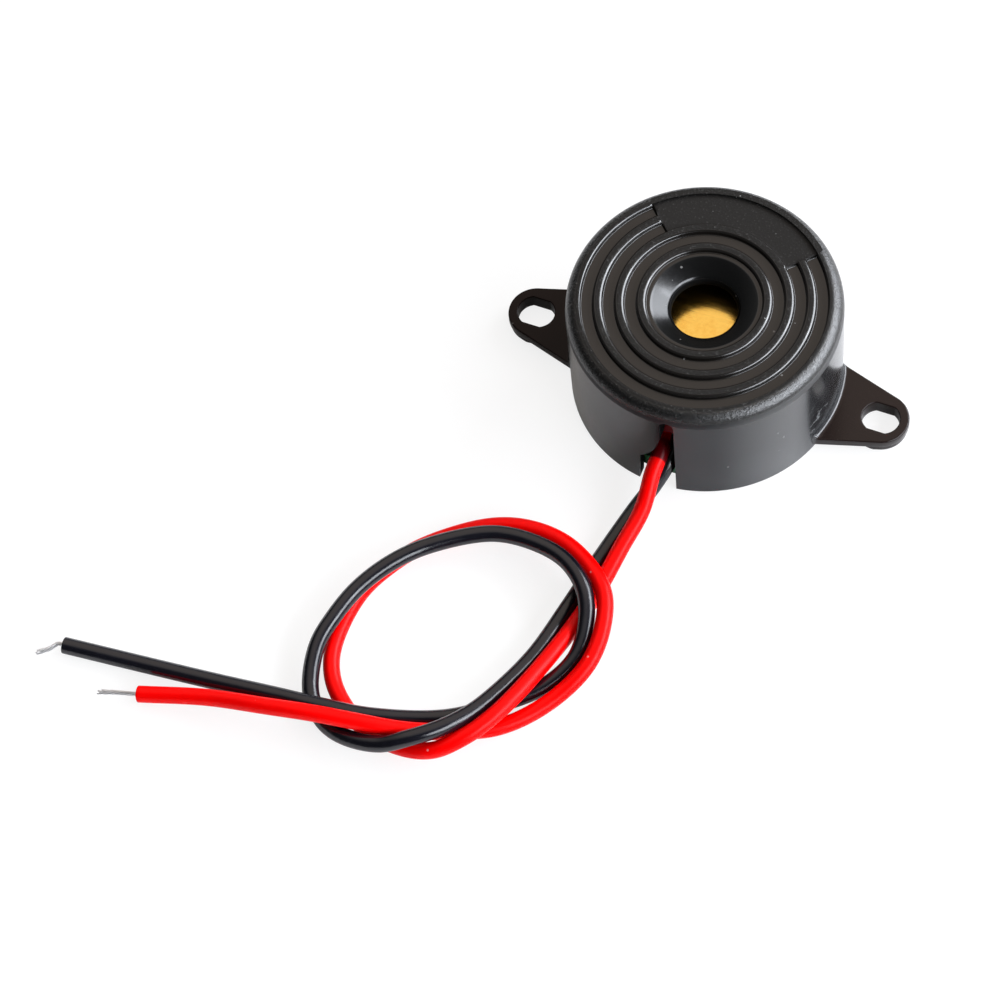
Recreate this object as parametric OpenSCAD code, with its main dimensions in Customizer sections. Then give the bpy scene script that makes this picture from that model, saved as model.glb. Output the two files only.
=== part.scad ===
// Piezo buzzer with two mounting ears and a pair of free leads.
// Frame: origin at the middle of the base, +Z up, ears along X, lead slot towards -Y.

/* [Housing] */
// Outside diameter of the round case
case_d = 23; // [22:0.1:24]
// Height of the case
case_h = 12; // [11.5:0.1:15]
// Thickness of the case wall round the sounder
wall_t = 1.3; // [1.1:0.05:1.6]
// Thickness of the roof at the sound hole
roof_t = 2.2; // [1.9:0.1:2.8]
// Rounding of the outer top edge
edge_r = 1.2; // [0.4:0.1:1.25]

/* [Cap rings] */
// Radius of the step round the sound hole, where the rings start
rings_start_r = 4.8; // [4.4:0.1:5]
// Width of each raised land between the grooves
land_w = 0.8; // [0.6:0.05:0.85]
// Width of each ring groove
groove_w = 1; // [0.8:0.05:1.05]
// Least width of the rim outside the last groove
rim_w = 1.25; // [1.1:0.05:1.3]
// Depth of the ring grooves
groove_depth = 0.5; // [0.3:0.05:0.8]

/* [Pad] */
// Number of outer grooves that the pad fills
pad_grooves = 2; // [1:1:2]
// Angle that the pad spans
pad_angle = 90; // [60:5:120]
// Depth of the pad below the rim
pad_depth = 0.25; // [0.1:0.05:0.28]
// How far the pad cuts into the rim
pad_margin = 0.35; // [0.1:0.05:0.5]

/* [Sound hole] */
// Diameter of the hole's neck
neck_d = 5.5; // [4:0.1:6]
// Depth of the funnel, from the top of the cap to the neck
funnel_depth = 1.4; // [1.1:0.1:1.6]
// Depth of the step round the funnel
step_depth = 0.4; // [0.2:0.05:0.6]
// Width of the flat lip between the step and the funnel
lip_w = 0.3; // [0.1:0.05:0.5]

/* [Ears] */
// Distance between the two fixing holes
ear_pitch = 31; // [30.5:0.1:33]
// Height of the ears' top face
ear_h = 1.5; // [1.2:0.1:2.5]
// Thickness of the ear's web beside its boss
ear_web_t = 0.85; // [0.6:0.05:1.1]
// Radius of the ear's round tip and boss
ear_tip_r = 2.4; // [2.1:0.05:2.8]
// Angle of the ear's sides to its own axis
ear_taper = 16.5; // [10:0.5:20]
// Rounding where the wall meets the ear
ear_fillet_r = 0.4; // [0.2:0.05:0.6]
// Length of the fixing hole, along the ears
hole_l = 3.2; // [3:0.05:3.4]
// Width of the fixing hole between its flats
hole_w = 2.6; // [2.4:0.05:2.8]
// Radius of the fixing hole's two ends
hole_end_r = 1.44; // [1.41:0.01:1.5]

/* [Lead slot] */
// Width of the slot at the base
slot_w = 3.3; // [3.1:0.05:3.6]
// Distance of the slot's straight side from the middle
slot_side = 1.5; // [1.45:0.05:1.8]
// Width of the slit that the slot narrows to
slit_w = 1.2; // [1.15:0.05:1.4]
// Distance from the top of the cap down to the slit's end
slit_drop = 1.25; // [1.2:0.05:1.8]
// Radius of the flare between the slot and the slit
flare_r = 6.5; // [6:0.5:8]
// Distance from the slit's end down to the start of the flare
flare_drop = 2.15; // [1.95:0.05:2.4]
// Height of the slot's lower part
notch_h = 4; // [3.8:0.1:4.4]

/* [Sounder] */
// Height of the air chamber above the plate
chamber_h = 1.6; // [1:0.1:2]
// Width of the ledge that carries the plate's rim
ledge_w = 1.2; // [0.8:0.1:1.8]
// Radial clearance round the brass plate
plate_gap = 0.2; // [0.1:0.05:0.4]
// Thickness of the brass plate
plate_t = 0.2; // [0.1:0.05:0.3]
// Width of the bare brass round the ceramic disc
plate_margin = 3; // [2.4:0.1:4]
// Thickness of the ceramic disc
ceramic_t = 0.22; // [0.15:0.01:0.3]
// Height of the adhesive bead under the plate's rim
bead_h = 0.9; // [0.6:0.1:1.2]
// Width of the adhesive bead
bead_w = 0.9; // [0.6:0.1:1.1]

/* [Circuit board] */
// Thickness of the board
board_t = 1.6; // [1:0.1:1.6]
// Height of the board's underside above the base
board_lift = 0.8; // [0.7:0.1:1]
// Width of the step that the board seats on
board_step = 0.3; // [0.2:0.05:0.4]
// Radial clearance round the board
board_gap = 0.05; // [0.03:0.01:0.15]
// Radial clearance of a pin in its hole
pin_gap = 0.05; // [0.03:0.01:0.1]

/* [Components] */
// Diameter of the choke's drum core
choke_d = 5; // [4:0.1:5.5]
// Gap between the choke and the ceramic disc above it
choke_gap = 1.38; // [0.9:0.01:2]
// Thickness of each flange of the drum core
choke_flange_t = 0.7; // [0.4:0.05:1]
// Depth of the drum core's waist below its flanges
choke_waist_depth = 1.3; // [1:0.05:1.6]
// Depth of the winding below the rim of the flanges
choke_winding_drop = 0.35; // [0.1:0.05:0.6]
// Diameter of the choke's two pins
choke_pin_d = 0.6; // [0.4:0.05:0.8]
// Distance between the choke's pins
choke_pin_pitch = 2.5; // [2:0.1:3]
// Length of the transistor's body
transistor_l = 2.9; // [2.6:0.1:3.2]
// Width of the transistor's body
transistor_w = 1.3; // [1.1:0.1:1.6]
// Height of the transistor's body
transistor_h = 0.95; // [0.8:0.05:1.2]
// Length of each chip resistor
resistor_l = 2; // [1.6:0.1:3.2]
// Width of each chip resistor
resistor_w = 1.25; // [0.8:0.05:1.6]
// Height of each chip resistor
resistor_h = 0.5; // [0.35:0.05:0.6]
// Diameter of the thin wires to the sounder
link_d = 0.6; // [0.4:0.05:0.8]
// Bend radius of the thin wires
link_bend = 1; // [0.8:0.1:1.1]

/* [Leads] */
// Outside diameter of each lead's insulation
lead_d = 1.4; // [1.2:0.05:1.4]
// Diameter of the tinned strands
core_d = 0.5; // [0.4:0.05:0.6]
// Length of a solder joint below the board
joint_h = 0.6; // [0.4:0.05:0.65]

/* [Hidden] */
$fn = 96;

// Overlap that lets a cut pass cleanly through a face
eps = 0.1;

// Housing
case_r = case_d / 2;
cavity_r = case_r - wall_t;
seat_r = cavity_r + board_step;
roof_z = case_h - roof_t;
ledge_z = roof_z - chamber_h;
ledge_r = cavity_r - ledge_w;
board_top = board_lift + board_t;
neck_r = neck_d / 2;
neck_z = case_h - funnel_depth;
lip_z = case_h - step_depth;
lip_r = rings_start_r - lip_w;
ring_pitch = land_w + groove_w;
groove_count = floor((case_r - rim_w - rings_start_r) / ring_pitch);
rings_end_r = rings_start_r + groove_count * ring_pitch;
pad_inner_r = groove_r(max(0, groove_count - pad_grooves));
pad_outer_r = rings_end_r + pad_margin;
arc_steps = 12;
slit_top = case_h - slit_drop;
flare_top = slit_top - flare_drop;

// Sounder, hung under the ledge
plate_r = cavity_r - plate_gap;
plate_z = ledge_z - plate_t;
ceramic_r = plate_r - plate_margin;
ceramic_z = plate_z - ceramic_t;
dot_h = 0.25;
dot_r = 0.55;
dot_tip_r = 0.4;
dot_inset = 0.5;
electrode_r = 3;

// Thin wires between the board and the sounder: bearing round the axis and radius of the top end
plate_link_at = [-20, (ceramic_r + cavity_r - bead_w) / 2];
electrode_link_at = [30, electrode_r];
feedback_link_at = [190, ceramic_r - dot_r - dot_inset];
link_reach = 2.6;

// Places of the components on the board, each from its bearing and its distance from the cavity wall
choke_inset = 4.8;
choke_at = inboard(124, choke_inset);
choke_h = ceramic_z - board_top - choke_gap;
choke_waist_d = choke_d - 2 * choke_waist_depth;
transistor_inset = 5.25;
transistor_at = inboard(43, transistor_inset);
resistor_insets = [2.9, 2.2, 3.6];
resistor_bearings = [75, 51, 4];
resistor_turns = [0, 60, 90];
leg_w = 0.42;
leg_t = 0.15;
leg_reach = 0.6;
leg_spread = 0.95;
foot_lift = 0.1;
end_l = 0.4;
end_t = 0.04;

// How much wider than its pin a solder cone is, at its tip and on the board
joint_tip = 0.3;
joint_foot = 1.1;

// Leads: centre lines from the board, out of the slot, through the loose knot, to the bare ends
red_route = [
    [-2.2, -1.8, board_top], [-2.2, -1.8, 2.8], [-2.1, -2.6, 5.1], [-1.7, -4.1, 6.2], [-1.1, -6.5, 6.3],
    [-0.5, -8.6, 5.5], [0.0, -10.4, 4.6], [-0.1, -12.4, 3.7], [0.0, -15.3, 2.3], [-0.5, -18.9, 1.7],
    [-0.9, -22.3, 1.3], [-1.5, -26.2, 1.4], [-2.4, -30.5, 2.0], [-3.5, -34.7, 2.7], [-4.5, -37.4, 3.0],
    [-6.0, -39.7, 2.8], [-8.0, -41.3, 2.1], [-10.4, -41.7, 1.4], [-14.0, -41.1, 0.8], [-16.7, -39.6, 0.8],
    [-18.6, -37.6, 0.8], [-19.6, -35.0, 0.8], [-19.5, -30.0, 0.8], [-18.2, -26.7, 0.8], [-16.0, -23.8, 1.0],
    [-11.5, -20.5, 1.3], [-8.0, -19.8, 1.8], [-4.2, -20.6, 2.4], [-0.3, -23.5, 2.9], [0.9, -26.5, 2.8],
    [0.9, -30.1, 2.3], [-1.0, -33.8, 1.3], [-4.0, -37.2, 1.2], [-7.8, -39.3, 1.7], [-11.1, -40.7, 2.5],
    [-14.6, -41.6, 3.3], [-18.1, -42.2, 3.5], [-22.2, -42.7, 2.9], [-27.3, -43.2, 1.8], [-33.0, -44.5, 0.9]
];
black_route = [
    [2.2, -1.2, board_top], [2.2, -1.2, 2.8], [2.1, -1.9, 4.5], [1.8, -3.7, 5.7], [1.4, -6.2, 5.5],
    [0.9, -9.0, 3.9], [0.6, -10.8, 3.0], [0.0, -12.6, 1.9], [-0.9, -15.1, 1.0], [-2.0, -20.3, 0.8],
    [-2.8, -25.2, 0.9], [-3.7, -30.4, 1.4], [-5.1, -34.8, 2.2], [-6.3, -37.5, 2.8], [-7.9, -39.8, 3.4],
    [-10.0, -41.6, 3.5], [-12.3, -42.6, 2.7], [-15.7, -42.5, 1.7], [-18.0, -41.4, 1.0], [-19.7, -39.5, 1.2],
    [-20.6, -35.9, 1.9], [-20.2, -33.0, 2.3], [-19.3, -29.9, 2.4], [-17.5, -26.8, 2.5], [-15.2, -24.3, 2.4],
    [-10.8, -21.6, 2.4], [-7.0, -21.4, 2.8], [-3.8, -22.4, 3.3], [-1.6, -24.3, 3.2], [-0.5, -26.8, 2.5],
    [-0.4, -29.6, 1.7], [-1.9, -32.4, 1.0], [-5.0, -35.3, 0.8], [-8.5, -38.0, 1.2], [-14.0, -40.3, 2.2],
    [-17.8, -41.0, 2.6], [-22.0, -41.2, 2.1], [-27.5, -41.5, 1.4], [-33.8, -41.9, 0.9], [-40.7, -42.5, 0.8]
];
// Bare ends, which go straight on out of the insulation before they bend
tip_stub = 0.5;
red_tip_route = concat(onward(red_route), [[-34.6, -44.8, 0.6], [-36.4, -45.3, 0.5]]);
black_tip_route = concat(onward(black_route), [[-41.7, -43.1, 0.65], [-42.7, -43.8, 0.5]]);
lead_sides = 8;
// Nearly upright direction that lines up the rings of a lead, in its vertical run too
ring_up = [0, 0.01, 1];

// Inner radius of ring groove k, counted from the sound hole
function groove_r(k) = rings_start_r + land_w + k * ring_pitch;

// Point on the board at a bearing round the axis, a distance in from the cavity wall
function inboard(bearing, inset) = (cavity_r - inset) * [cos(bearing), sin(bearing)];

// Points of an arc in a plane, from angle a to angle b
function arc(centre, r, a, b) =
    [for (i = [0:arc_steps]) let (t = a + (b - a) * i / arc_steps) centre + r * [cos(t), sin(t)]];

function unit(v) = v / norm(v);

// Direction of a route at point i
function heading(route, i) =
    let (last = len(route) - 1)
    unit(route[min(i + 1, last)] - route[max(i - 1, 0)]);

// End point of a route and a point straight beyond it
function onward(route) =
    let (last = len(route) - 1)
    [route[last], route[last] + tip_stub * heading(route, last)];

// One ring of points round a route, square to its direction
function ring(route, i, r, sides) =
    let (
        ahead = heading(route, i),
        side = unit(cross(ahead, ring_up)),
        up = cross(side, ahead)
    )
    [for (k = [0:sides - 1]) route[i] + r * (side * cos(360 * k / sides) + up * sin(360 * k / sides))];

// Round tube swept along a route
module tube(route, d, sides = lead_sides) {
    rings = len(route);
    points = [for (i = [0:rings - 1]) each ring(route, i, d / 2, sides)];
    walls = [
        for (i = [0:rings - 2])
            for (k = [0:sides - 1])
                let (a = i * sides + k, b = i * sides + (k + 1) % sides)
                each [[a, b, b + sides], [a, b + sides, a + sides]]
    ];
    first = [for (k = [0:sides - 1]) sides - 1 - k];
    last = [for (k = [0:sides - 1]) (rings - 1) * sides + k];
    polyhedron(points = points, faces = concat([first], walls, [last]), convexity = 10);
}

// Flat ring of rectangular section between two radii and two heights, over an angle from a start
module ring_cut(r_in, r_out, z_low, z_high, start = 0, span = 360) {
    rotate([0, 0, start])
        rotate_extrude(angle = span)
            translate([r_in, z_low])
                square([r_out - r_in, z_high - z_low]);
}

// Half section of the case without its rings, from the base up to the sound hole
module case_section() {
    polygon(concat(
        [[seat_r, 0], [case_r, 0]],
        arc([case_r - edge_r, case_h - edge_r], edge_r, 0, 90),
        [[rings_start_r, case_h], [rings_start_r, lip_z], [lip_r, lip_z], [neck_r, neck_z]],
        [[neck_r, roof_z], [ledge_r, roof_z], [ledge_r, ledge_z], [cavity_r, ledge_z]],
        [[cavity_r, board_top], [seat_r, board_top]]
    ));
}

// Ring grooves: the outer ones stop at the pad
module ring_grooves() {
    for (k = [0:groove_count - 1]) {
        padded = k >= groove_count - pad_grooves;
        ring_cut(groove_r(k), groove_r(k) + groove_w, case_h - groove_depth, case_h + eps,
            90 + pad_angle / 2, padded ? 360 - pad_angle : 360);
    }
}

// Shallow recess of the pad, opposite the lead slot
module cap_pad() {
    ring_cut(pad_inner_r, pad_outer_r, case_h - pad_depth, case_h + eps, 90 - pad_angle / 2, pad_angle);
}

// Outline of one ear, from inside the wall to its round tip
module ear_outline() {
    centre_x = ear_pitch / 2;
    root_x = cavity_r;
    tip_x = centre_x + ear_tip_r * sin(ear_taper);
    tip_y = ear_tip_r * cos(ear_taper);
    root_y = tip_y + (tip_x - root_x) * tan(ear_taper);
    polygon([[root_x, -root_y], [tip_x, -tip_y], [tip_x, tip_y], [root_x, root_y]]);
    translate([centre_x, 0])
        circle(r = ear_tip_r);
}

// Fixing hole: two round ends between two flats
module ear_hole() {
    offset_x = hole_l / 2 - hole_end_r;
    translate([ear_pitch / 2, 0, -eps])
        linear_extrude(ear_h + 2 * eps)
            intersection() {
                union() {
                    for (side = [-1, 1])
                        translate([side * offset_x, 0])
                            circle(r = hole_end_r);
                }
                square([2 * hole_l, hole_w], center = true);
            }
}

// One mounting ear: thin web, boss down to the base and a fillet against the wall
module ear() {
    difference() {
        union() {
            translate([0, 0, ear_h - ear_web_t])
                linear_extrude(ear_web_t)
                    ear_outline();
            translate([ear_pitch / 2, 0, 0])
                cylinder(r = ear_tip_r, h = ear_h);
            intersection() {
                rotate_extrude()
                    difference() {
                        translate([case_r - wall_t / 2, ear_h - ear_web_t / 2])
                            square([wall_t / 2 + ear_fillet_r, ear_web_t / 2 + ear_fillet_r]);
                        translate([case_r + ear_fillet_r, ear_h + ear_fillet_r])
                            circle(r = ear_fillet_r);
                    }
                linear_extrude(ear_h + ear_fillet_r)
                    ear_outline();
            }
        }
        translate([0, 0, -eps])
            cylinder(r = case_r - wall_t / 2, h = ear_h + ear_fillet_r + 2 * eps);
        ear_hole();
    }
}

// Opening for the leads: wide at the base, flared on one side up to a narrow slit
module lead_slot() {
    slit_x = slot_side - slit_w;
    flare_x = slit_x - flare_r;
    flare_end = asin((flare_top - notch_h) / flare_r);
    translate([0, -cavity_r + board_step, 0])
        rotate([90, 0, 0])
            linear_extrude(case_r)
                polygon(concat(
                    [[slot_side - slot_w, -eps], [slot_side, -eps]],
                    arc([slot_side - slit_w / 2, slit_top - slit_w / 2], slit_w / 2, 0, 180),
                    arc([flare_x, flare_top], flare_r, 0, -flare_end)
                ));
}

module housing() {
    color([0.08, 0.08, 0.09])
        difference() {
            union() {
                rotate_extrude()
                    case_section();
                ear();
                rotate([0, 0, 180])
                    ear();
            }
            ring_grooves();
            cap_pad();
            lead_slot();
        }
}

module sounder_plate() {
    color([0.85, 0.68, 0.3])
        translate([0, 0, plate_z])
            cylinder(r = plate_r, h = plate_t);
}

module ceramic_disc() {
    color([0.9, 0.88, 0.82])
        translate([0, 0, ceramic_z])
            cylinder(r = ceramic_r, h = ceramic_t);
}

// Bead of red silicone that fills the corner between the plate and the case wall
module adhesive_ring() {
    bead_r = cavity_r - bead_w;
    color([0.55, 0.06, 0.06])
        rotate_extrude()
            polygon([
                [bead_r, plate_z], [plate_r, plate_z], [plate_r, ledge_z],
                [cavity_r, ledge_z], [cavity_r, plate_z - bead_h]
            ]);
}

// Holes of the board: two for the leads, two for the choke's pins
module board_holes() {
    for (place = [red_route[0], black_route[0]])
        translate([place.x, place.y, board_lift - eps])
            cylinder(d = core_d + 2 * pin_gap, h = board_t + 2 * eps);
    for (side = [-1, 1])
        translate([choke_at.x + side * choke_pin_pitch / 2, choke_at.y, board_lift - eps])
            cylinder(d = choke_pin_d + 2 * pin_gap, h = board_t + 2 * eps);
}

module circuit_board() {
    color([0.1, 0.42, 0.2])
        difference() {
            translate([0, 0, board_lift])
                cylinder(r = seat_r - board_gap, h = board_t);
            board_holes();
        }
}

// Drum core of the choke: waist between two flanges
module choke_core() {
    color([0.2, 0.2, 0.21])
        translate([choke_at.x, choke_at.y, board_top])
            rotate_extrude()
                polygon([
                    [0, 0], [choke_d / 2, 0], [choke_d / 2, choke_flange_t],
                    [choke_waist_d / 2, choke_flange_t],
                    [choke_waist_d / 2, choke_h - choke_flange_t],
                    [choke_d / 2, choke_h - choke_flange_t], [choke_d / 2, choke_h], [0, choke_h]
                ]);
}

// Copper winding round the drum core's waist
module choke_winding() {
    winding_h = choke_h - 2 * choke_flange_t;
    winding_d = choke_d - 2 * choke_winding_drop;
    color([0.72, 0.35, 0.14])
        translate([choke_at.x, choke_at.y, board_top + choke_flange_t])
            difference() {
                cylinder(d = winding_d, h = winding_h);
                translate([0, 0, -eps])
                    cylinder(d = choke_waist_d, h = winding_h + 2 * eps);
            }
}

// Two pins of the choke, through the board
module choke_pins() {
    color([0.75, 0.75, 0.76])
        for (side = [-1, 1])
            translate([choke_at.x + side * choke_pin_pitch / 2, choke_at.y, board_lift - joint_h])
                cylinder(d = choke_pin_d, h = board_t + joint_h);
}

module transistor_body() {
    color([0.12, 0.12, 0.13])
        translate([transistor_at.x, transistor_at.y, board_top + foot_lift])
            translate([-transistor_l / 2, -transistor_w / 2, 0])
                cube([transistor_l, transistor_w, transistor_h - foot_lift]);
}

// One gull-wing leg, from the body's side down to the board
module leg() {
    shoulder = (foot_lift + transistor_h) / 2;
    rotate([90, 0, 0])
        translate([0, 0, -leg_w / 2])
            linear_extrude(leg_w)
                polygon([
                    [0, shoulder], [leg_reach / 3, shoulder], [leg_reach / 2, leg_t], [leg_reach, leg_t],
                    [leg_reach, 0], [leg_reach / 2 - leg_t, 0], [leg_reach / 3 - leg_t, shoulder - leg_t],
                    [0, shoulder - leg_t]
                ]);
}

module transistor_legs() {
    color([0.78, 0.78, 0.8])
        translate([transistor_at.x, transistor_at.y, board_top]) {
            for (x = [-leg_spread, leg_spread])
                translate([x, -transistor_w / 2, 0])
                    rotate([0, 0, -90])
                        leg();
            translate([0, transistor_w / 2, 0])
                rotate([0, 0, 90])
                    leg();
        }
}

// Places its children at each chip resistor
module at_resistors() {
    for (i = [0:len(resistor_turns) - 1]) {
        place = inboard(resistor_bearings[i], resistor_insets[i]);
        translate([place.x, place.y, board_top])
            rotate([0, 0, resistor_turns[i]])
                children();
    }
}

module resistor_bodies() {
    body_l = resistor_l - 2 * end_t;
    color([0.15, 0.15, 0.16])
        at_resistors()
            translate([-body_l / 2, -resistor_w / 2, end_t])
                cube([body_l, resistor_w, resistor_h - 2 * end_t]);
}

// Tinned end caps that wrap each chip resistor
module resistor_ends() {
    color([0.8, 0.8, 0.82])
        at_resistors()
            for (side = [0, 180])
                rotate([0, 0, side])
                    difference() {
                        translate([resistor_l / 2 - end_l, -resistor_w / 2, 0])
                            cube([end_l, resistor_w, resistor_h]);
                        translate([resistor_l / 2 - end_l - eps, -resistor_w, end_t])
                            cube([end_l - end_t + eps, 2 * resistor_w, resistor_h - 2 * end_t]);
                    }
}

// Thin wire from the board up to a solder dot: two bends in one plane, foot nearer the axis than top
module link(place, top_z) {
    straight = (top_z - board_top) / 2 - link_bend;
    rotate([0, 0, place[0]])
        translate([place[1] - link_reach, 0, board_top]) {
            cylinder(d = link_d, h = straight);
            translate([link_bend, 0, straight])
                rotate([90, 0, 180])
                    rotate_extrude(angle = 90)
                        translate([link_bend, 0])
                            circle(d = link_d);
            translate([link_bend, 0, straight + link_bend])
                rotate([0, 90, 0])
                    cylinder(d = link_d, h = link_reach - 2 * link_bend);
            translate([link_reach - link_bend, 0, straight + 2 * link_bend])
                rotate([-90, 0, 0])
                    rotate_extrude(angle = 90)
                        translate([link_bend, 0])
                            circle(d = link_d);
            translate([link_reach, 0, straight + 2 * link_bend])
                cylinder(d = link_d, h = straight);
        }
}

module plate_link() {
    color([0.1, 0.1, 0.12])
        link(plate_link_at, plate_z - dot_h);
}

module electrode_link() {
    color([0.75, 0.1, 0.08])
        link(electrode_link_at, ceramic_z - dot_h);
}

module feedback_link() {
    color([0.9, 0.85, 0.3])
        link(feedback_link_at, ceramic_z - dot_h);
}

// Solder dots on the plate and on the ceramic's silvered faces
module sounder_solder() {
    dots = [[plate_link_at, plate_z], [electrode_link_at, ceramic_z], [feedback_link_at, ceramic_z]];
    color([0.8, 0.8, 0.82])
        for (dot = dots)
            rotate([0, 0, dot[0][0]])
                translate([dot[0][1], 0, dot[1] - dot_h])
                    cylinder(r1 = dot_tip_r, r2 = dot_r, h = dot_h);
}

// Solder cone round a pin below the board
module joint(place, pin_d) {
    translate([place.x, place.y, board_lift - joint_h])
        difference() {
            cylinder(d1 = pin_d + joint_tip, d2 = pin_d + joint_foot, h = joint_h);
            translate([0, 0, -eps])
                cylinder(d = pin_d, h = joint_h + 2 * eps);
        }
}

module board_solder() {
    color([0.8, 0.8, 0.82]) {
        joint(red_route[0], core_d);
        joint(black_route[0], core_d);
        for (side = [-1, 1])
            joint(choke_at + [side * choke_pin_pitch / 2, 0], choke_pin_d);
    }
}

// Bared inner ends of the two leads, through the board
module lead_tails() {
    color([0.85, 0.75, 0.65])
        for (place = [red_route[0], black_route[0]])
            translate([place.x, place.y, board_lift - joint_h])
                cylinder(d = core_d, h = board_t + joint_h);
}

module red_lead() {
    color([0.95, 0.05, 0.03])
        tube(red_route, lead_d);
}

module black_lead() {
    color([0.08, 0.08, 0.09])
        tube(black_route, lead_d);
}

module red_lead_tip() {
    color([0.8, 0.8, 0.8])
        tube(red_tip_route, core_d);
}

module black_lead_tip() {
    color([0.8, 0.8, 0.8])
        tube(black_tip_route, core_d);
}

housing();
sounder_plate();
ceramic_disc();
adhesive_ring();
circuit_board();
choke_core();
choke_winding();
choke_pins();
transistor_body();
transistor_legs();
resistor_bodies();
resistor_ends();
plate_link();
electrode_link();
feedback_link();
sounder_solder();
board_solder();
lead_tails();
red_lead();
black_lead();
red_lead_tip();
black_lead_tip();
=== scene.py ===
"""Piezo buzzer: a grooved black case on two ears, with a red and a black lead in a loose knot.

All sizes are in millimetres and are turned to metres when a mesh is written. The frame is the
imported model's: origin at the middle of the base, +Z up, ears along X, lead slot towards -Y.
"""

import logging
import math
from dataclasses import dataclass, field
from enum import Enum
from typing import Callable, Sequence, Union

import bpy
import numpy as np
from mathutils import Matrix, Vector


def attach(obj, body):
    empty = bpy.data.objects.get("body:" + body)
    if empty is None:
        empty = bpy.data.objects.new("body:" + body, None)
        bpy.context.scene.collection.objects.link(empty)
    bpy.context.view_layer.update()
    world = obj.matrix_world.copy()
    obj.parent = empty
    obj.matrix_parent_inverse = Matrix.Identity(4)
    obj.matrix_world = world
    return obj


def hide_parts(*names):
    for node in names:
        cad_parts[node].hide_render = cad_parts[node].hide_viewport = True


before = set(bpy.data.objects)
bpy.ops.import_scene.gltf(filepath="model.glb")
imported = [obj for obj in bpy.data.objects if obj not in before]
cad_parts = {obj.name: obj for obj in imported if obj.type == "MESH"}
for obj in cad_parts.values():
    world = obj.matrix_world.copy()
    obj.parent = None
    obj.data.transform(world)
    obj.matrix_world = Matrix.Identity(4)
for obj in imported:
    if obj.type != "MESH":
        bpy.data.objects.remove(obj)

LOG = logging.getLogger("buzzer")
MM = 0.001
ROOT = "root"
# Painted shade: a darker black for the case's funnel and inside, and for the black lead just behind the
# wall
PAINTED_SHADE_BLACK = (0.003, 0.003, 0.003)
SOFT_BLACK = (0.004, 0.004, 0.007)
# Painted shade: dark red of the red lead just behind the wall, also the silicone bead's second tone
PAINTED_SHADE_RED = (0.11, 0.0, 0.002)
PLASTIC_IOR = 1.5
UV_NAME = "along"
Colour = tuple[float, float, float]
Socket = bpy.types.NodeSocket
Feed = Union[Socket, float, Sequence[float]]
Key = Union[str, int]

# Two ends: where a smooth step is 0 and where it is 1, or a value's two limits
Band = tuple[float, float]

# Points of shape (n, 3), and arrays of faces that each have the same number of corners
Surface = tuple[np.ndarray, list[np.ndarray]]

# Radius and height of a profile's corner, its rounding and the points of its arc
Corner = tuple[tuple[float, float], float, int]


class Slot(Enum):
    """Material slots of the record that the pieces take their finish from."""

    CASE = "case_black"
    BRASS = "brass"
    CERAMIC = "ceramic"
    SILICONE = "silicone"
    BOARD = "board_green"
    FERRITE = "ferrite"
    COPPER = "copper"
    TINNED = "tinned"
    SOLDER = "solder"
    EPOXY = "epoxy"
    WIRE_BLACK = "wire_black"
    WIRE_RED = "wire_red"
    WIRE_YELLOW = "wire_yellow"
    LEAD_RED = "lead_red"
    LEAD_BLACK = "lead_black"


class Side(Enum):
    """Side of the case that an ear stands on; the value is the sign of its X."""

    RIGHT = 1
    LEFT = -1


# Numpy surfaces


def unit(v: np.ndarray) -> np.ndarray:
    """Vectors scaled to length one along the last axis."""
    return v / np.maximum(np.linalg.norm(v, axis=-1, keepdims=True), 1e-12)


def smooth_step(low: float, high: float, x: np.ndarray) -> np.ndarray:
    """Cubic step 3t^2 - 2t^3 from 0 at low to 1 at high."""
    t = np.clip((x - low) / (high - low), 0.0, 1.0)
    return t * t * (3.0 - 2.0 * t)


def grid_quads(rows: int, cols: int, wrap_rows: bool, wrap_cols: bool, first: int = 0) -> np.ndarray:
    """Quads of a grid whose point (row, col) has index first + row * cols + col.

    Args:
        rows: number of rows of points.
        cols: number of points in a row.
        wrap_rows: whether the last row joins the first.
        wrap_cols: whether the last column joins the first.
        first: index of the grid's first point.

    Returns:
        Array of shape (quads, 4), wound so that column step x row step points outwards.
    """
    row, col = np.meshgrid(
        np.arange(rows if wrap_rows else rows - 1),
        np.arange(cols if wrap_cols else cols - 1),
        indexing="ij",
    )
    here, ahead = row * cols, (row + 1) % rows * cols
    beside = (col + 1) % cols
    quads = np.stack([here + col, here + beside, ahead + beside, ahead + col], axis=-1)
    return quads.reshape(-1, 4) + first


def fan(ring_first: int, sides: int, pole: int, outward: bool) -> np.ndarray:
    """Triangles that close a ring of points with one pole point.

    Args:
        ring_first: index of the ring's first point.
        sides: points in the ring.
        pole: index of the pole point.
        outward: True when the pole lies ahead of the ring along its path.

    Returns:
        Array of shape (sides, 3).
    """
    here = ring_first + np.arange(sides)
    beside = ring_first + (np.arange(sides) + 1) % sides
    tip = np.full(sides, pole)
    return np.stack([here, beside, tip] if outward else [beside, here, tip], axis=-1)


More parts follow.
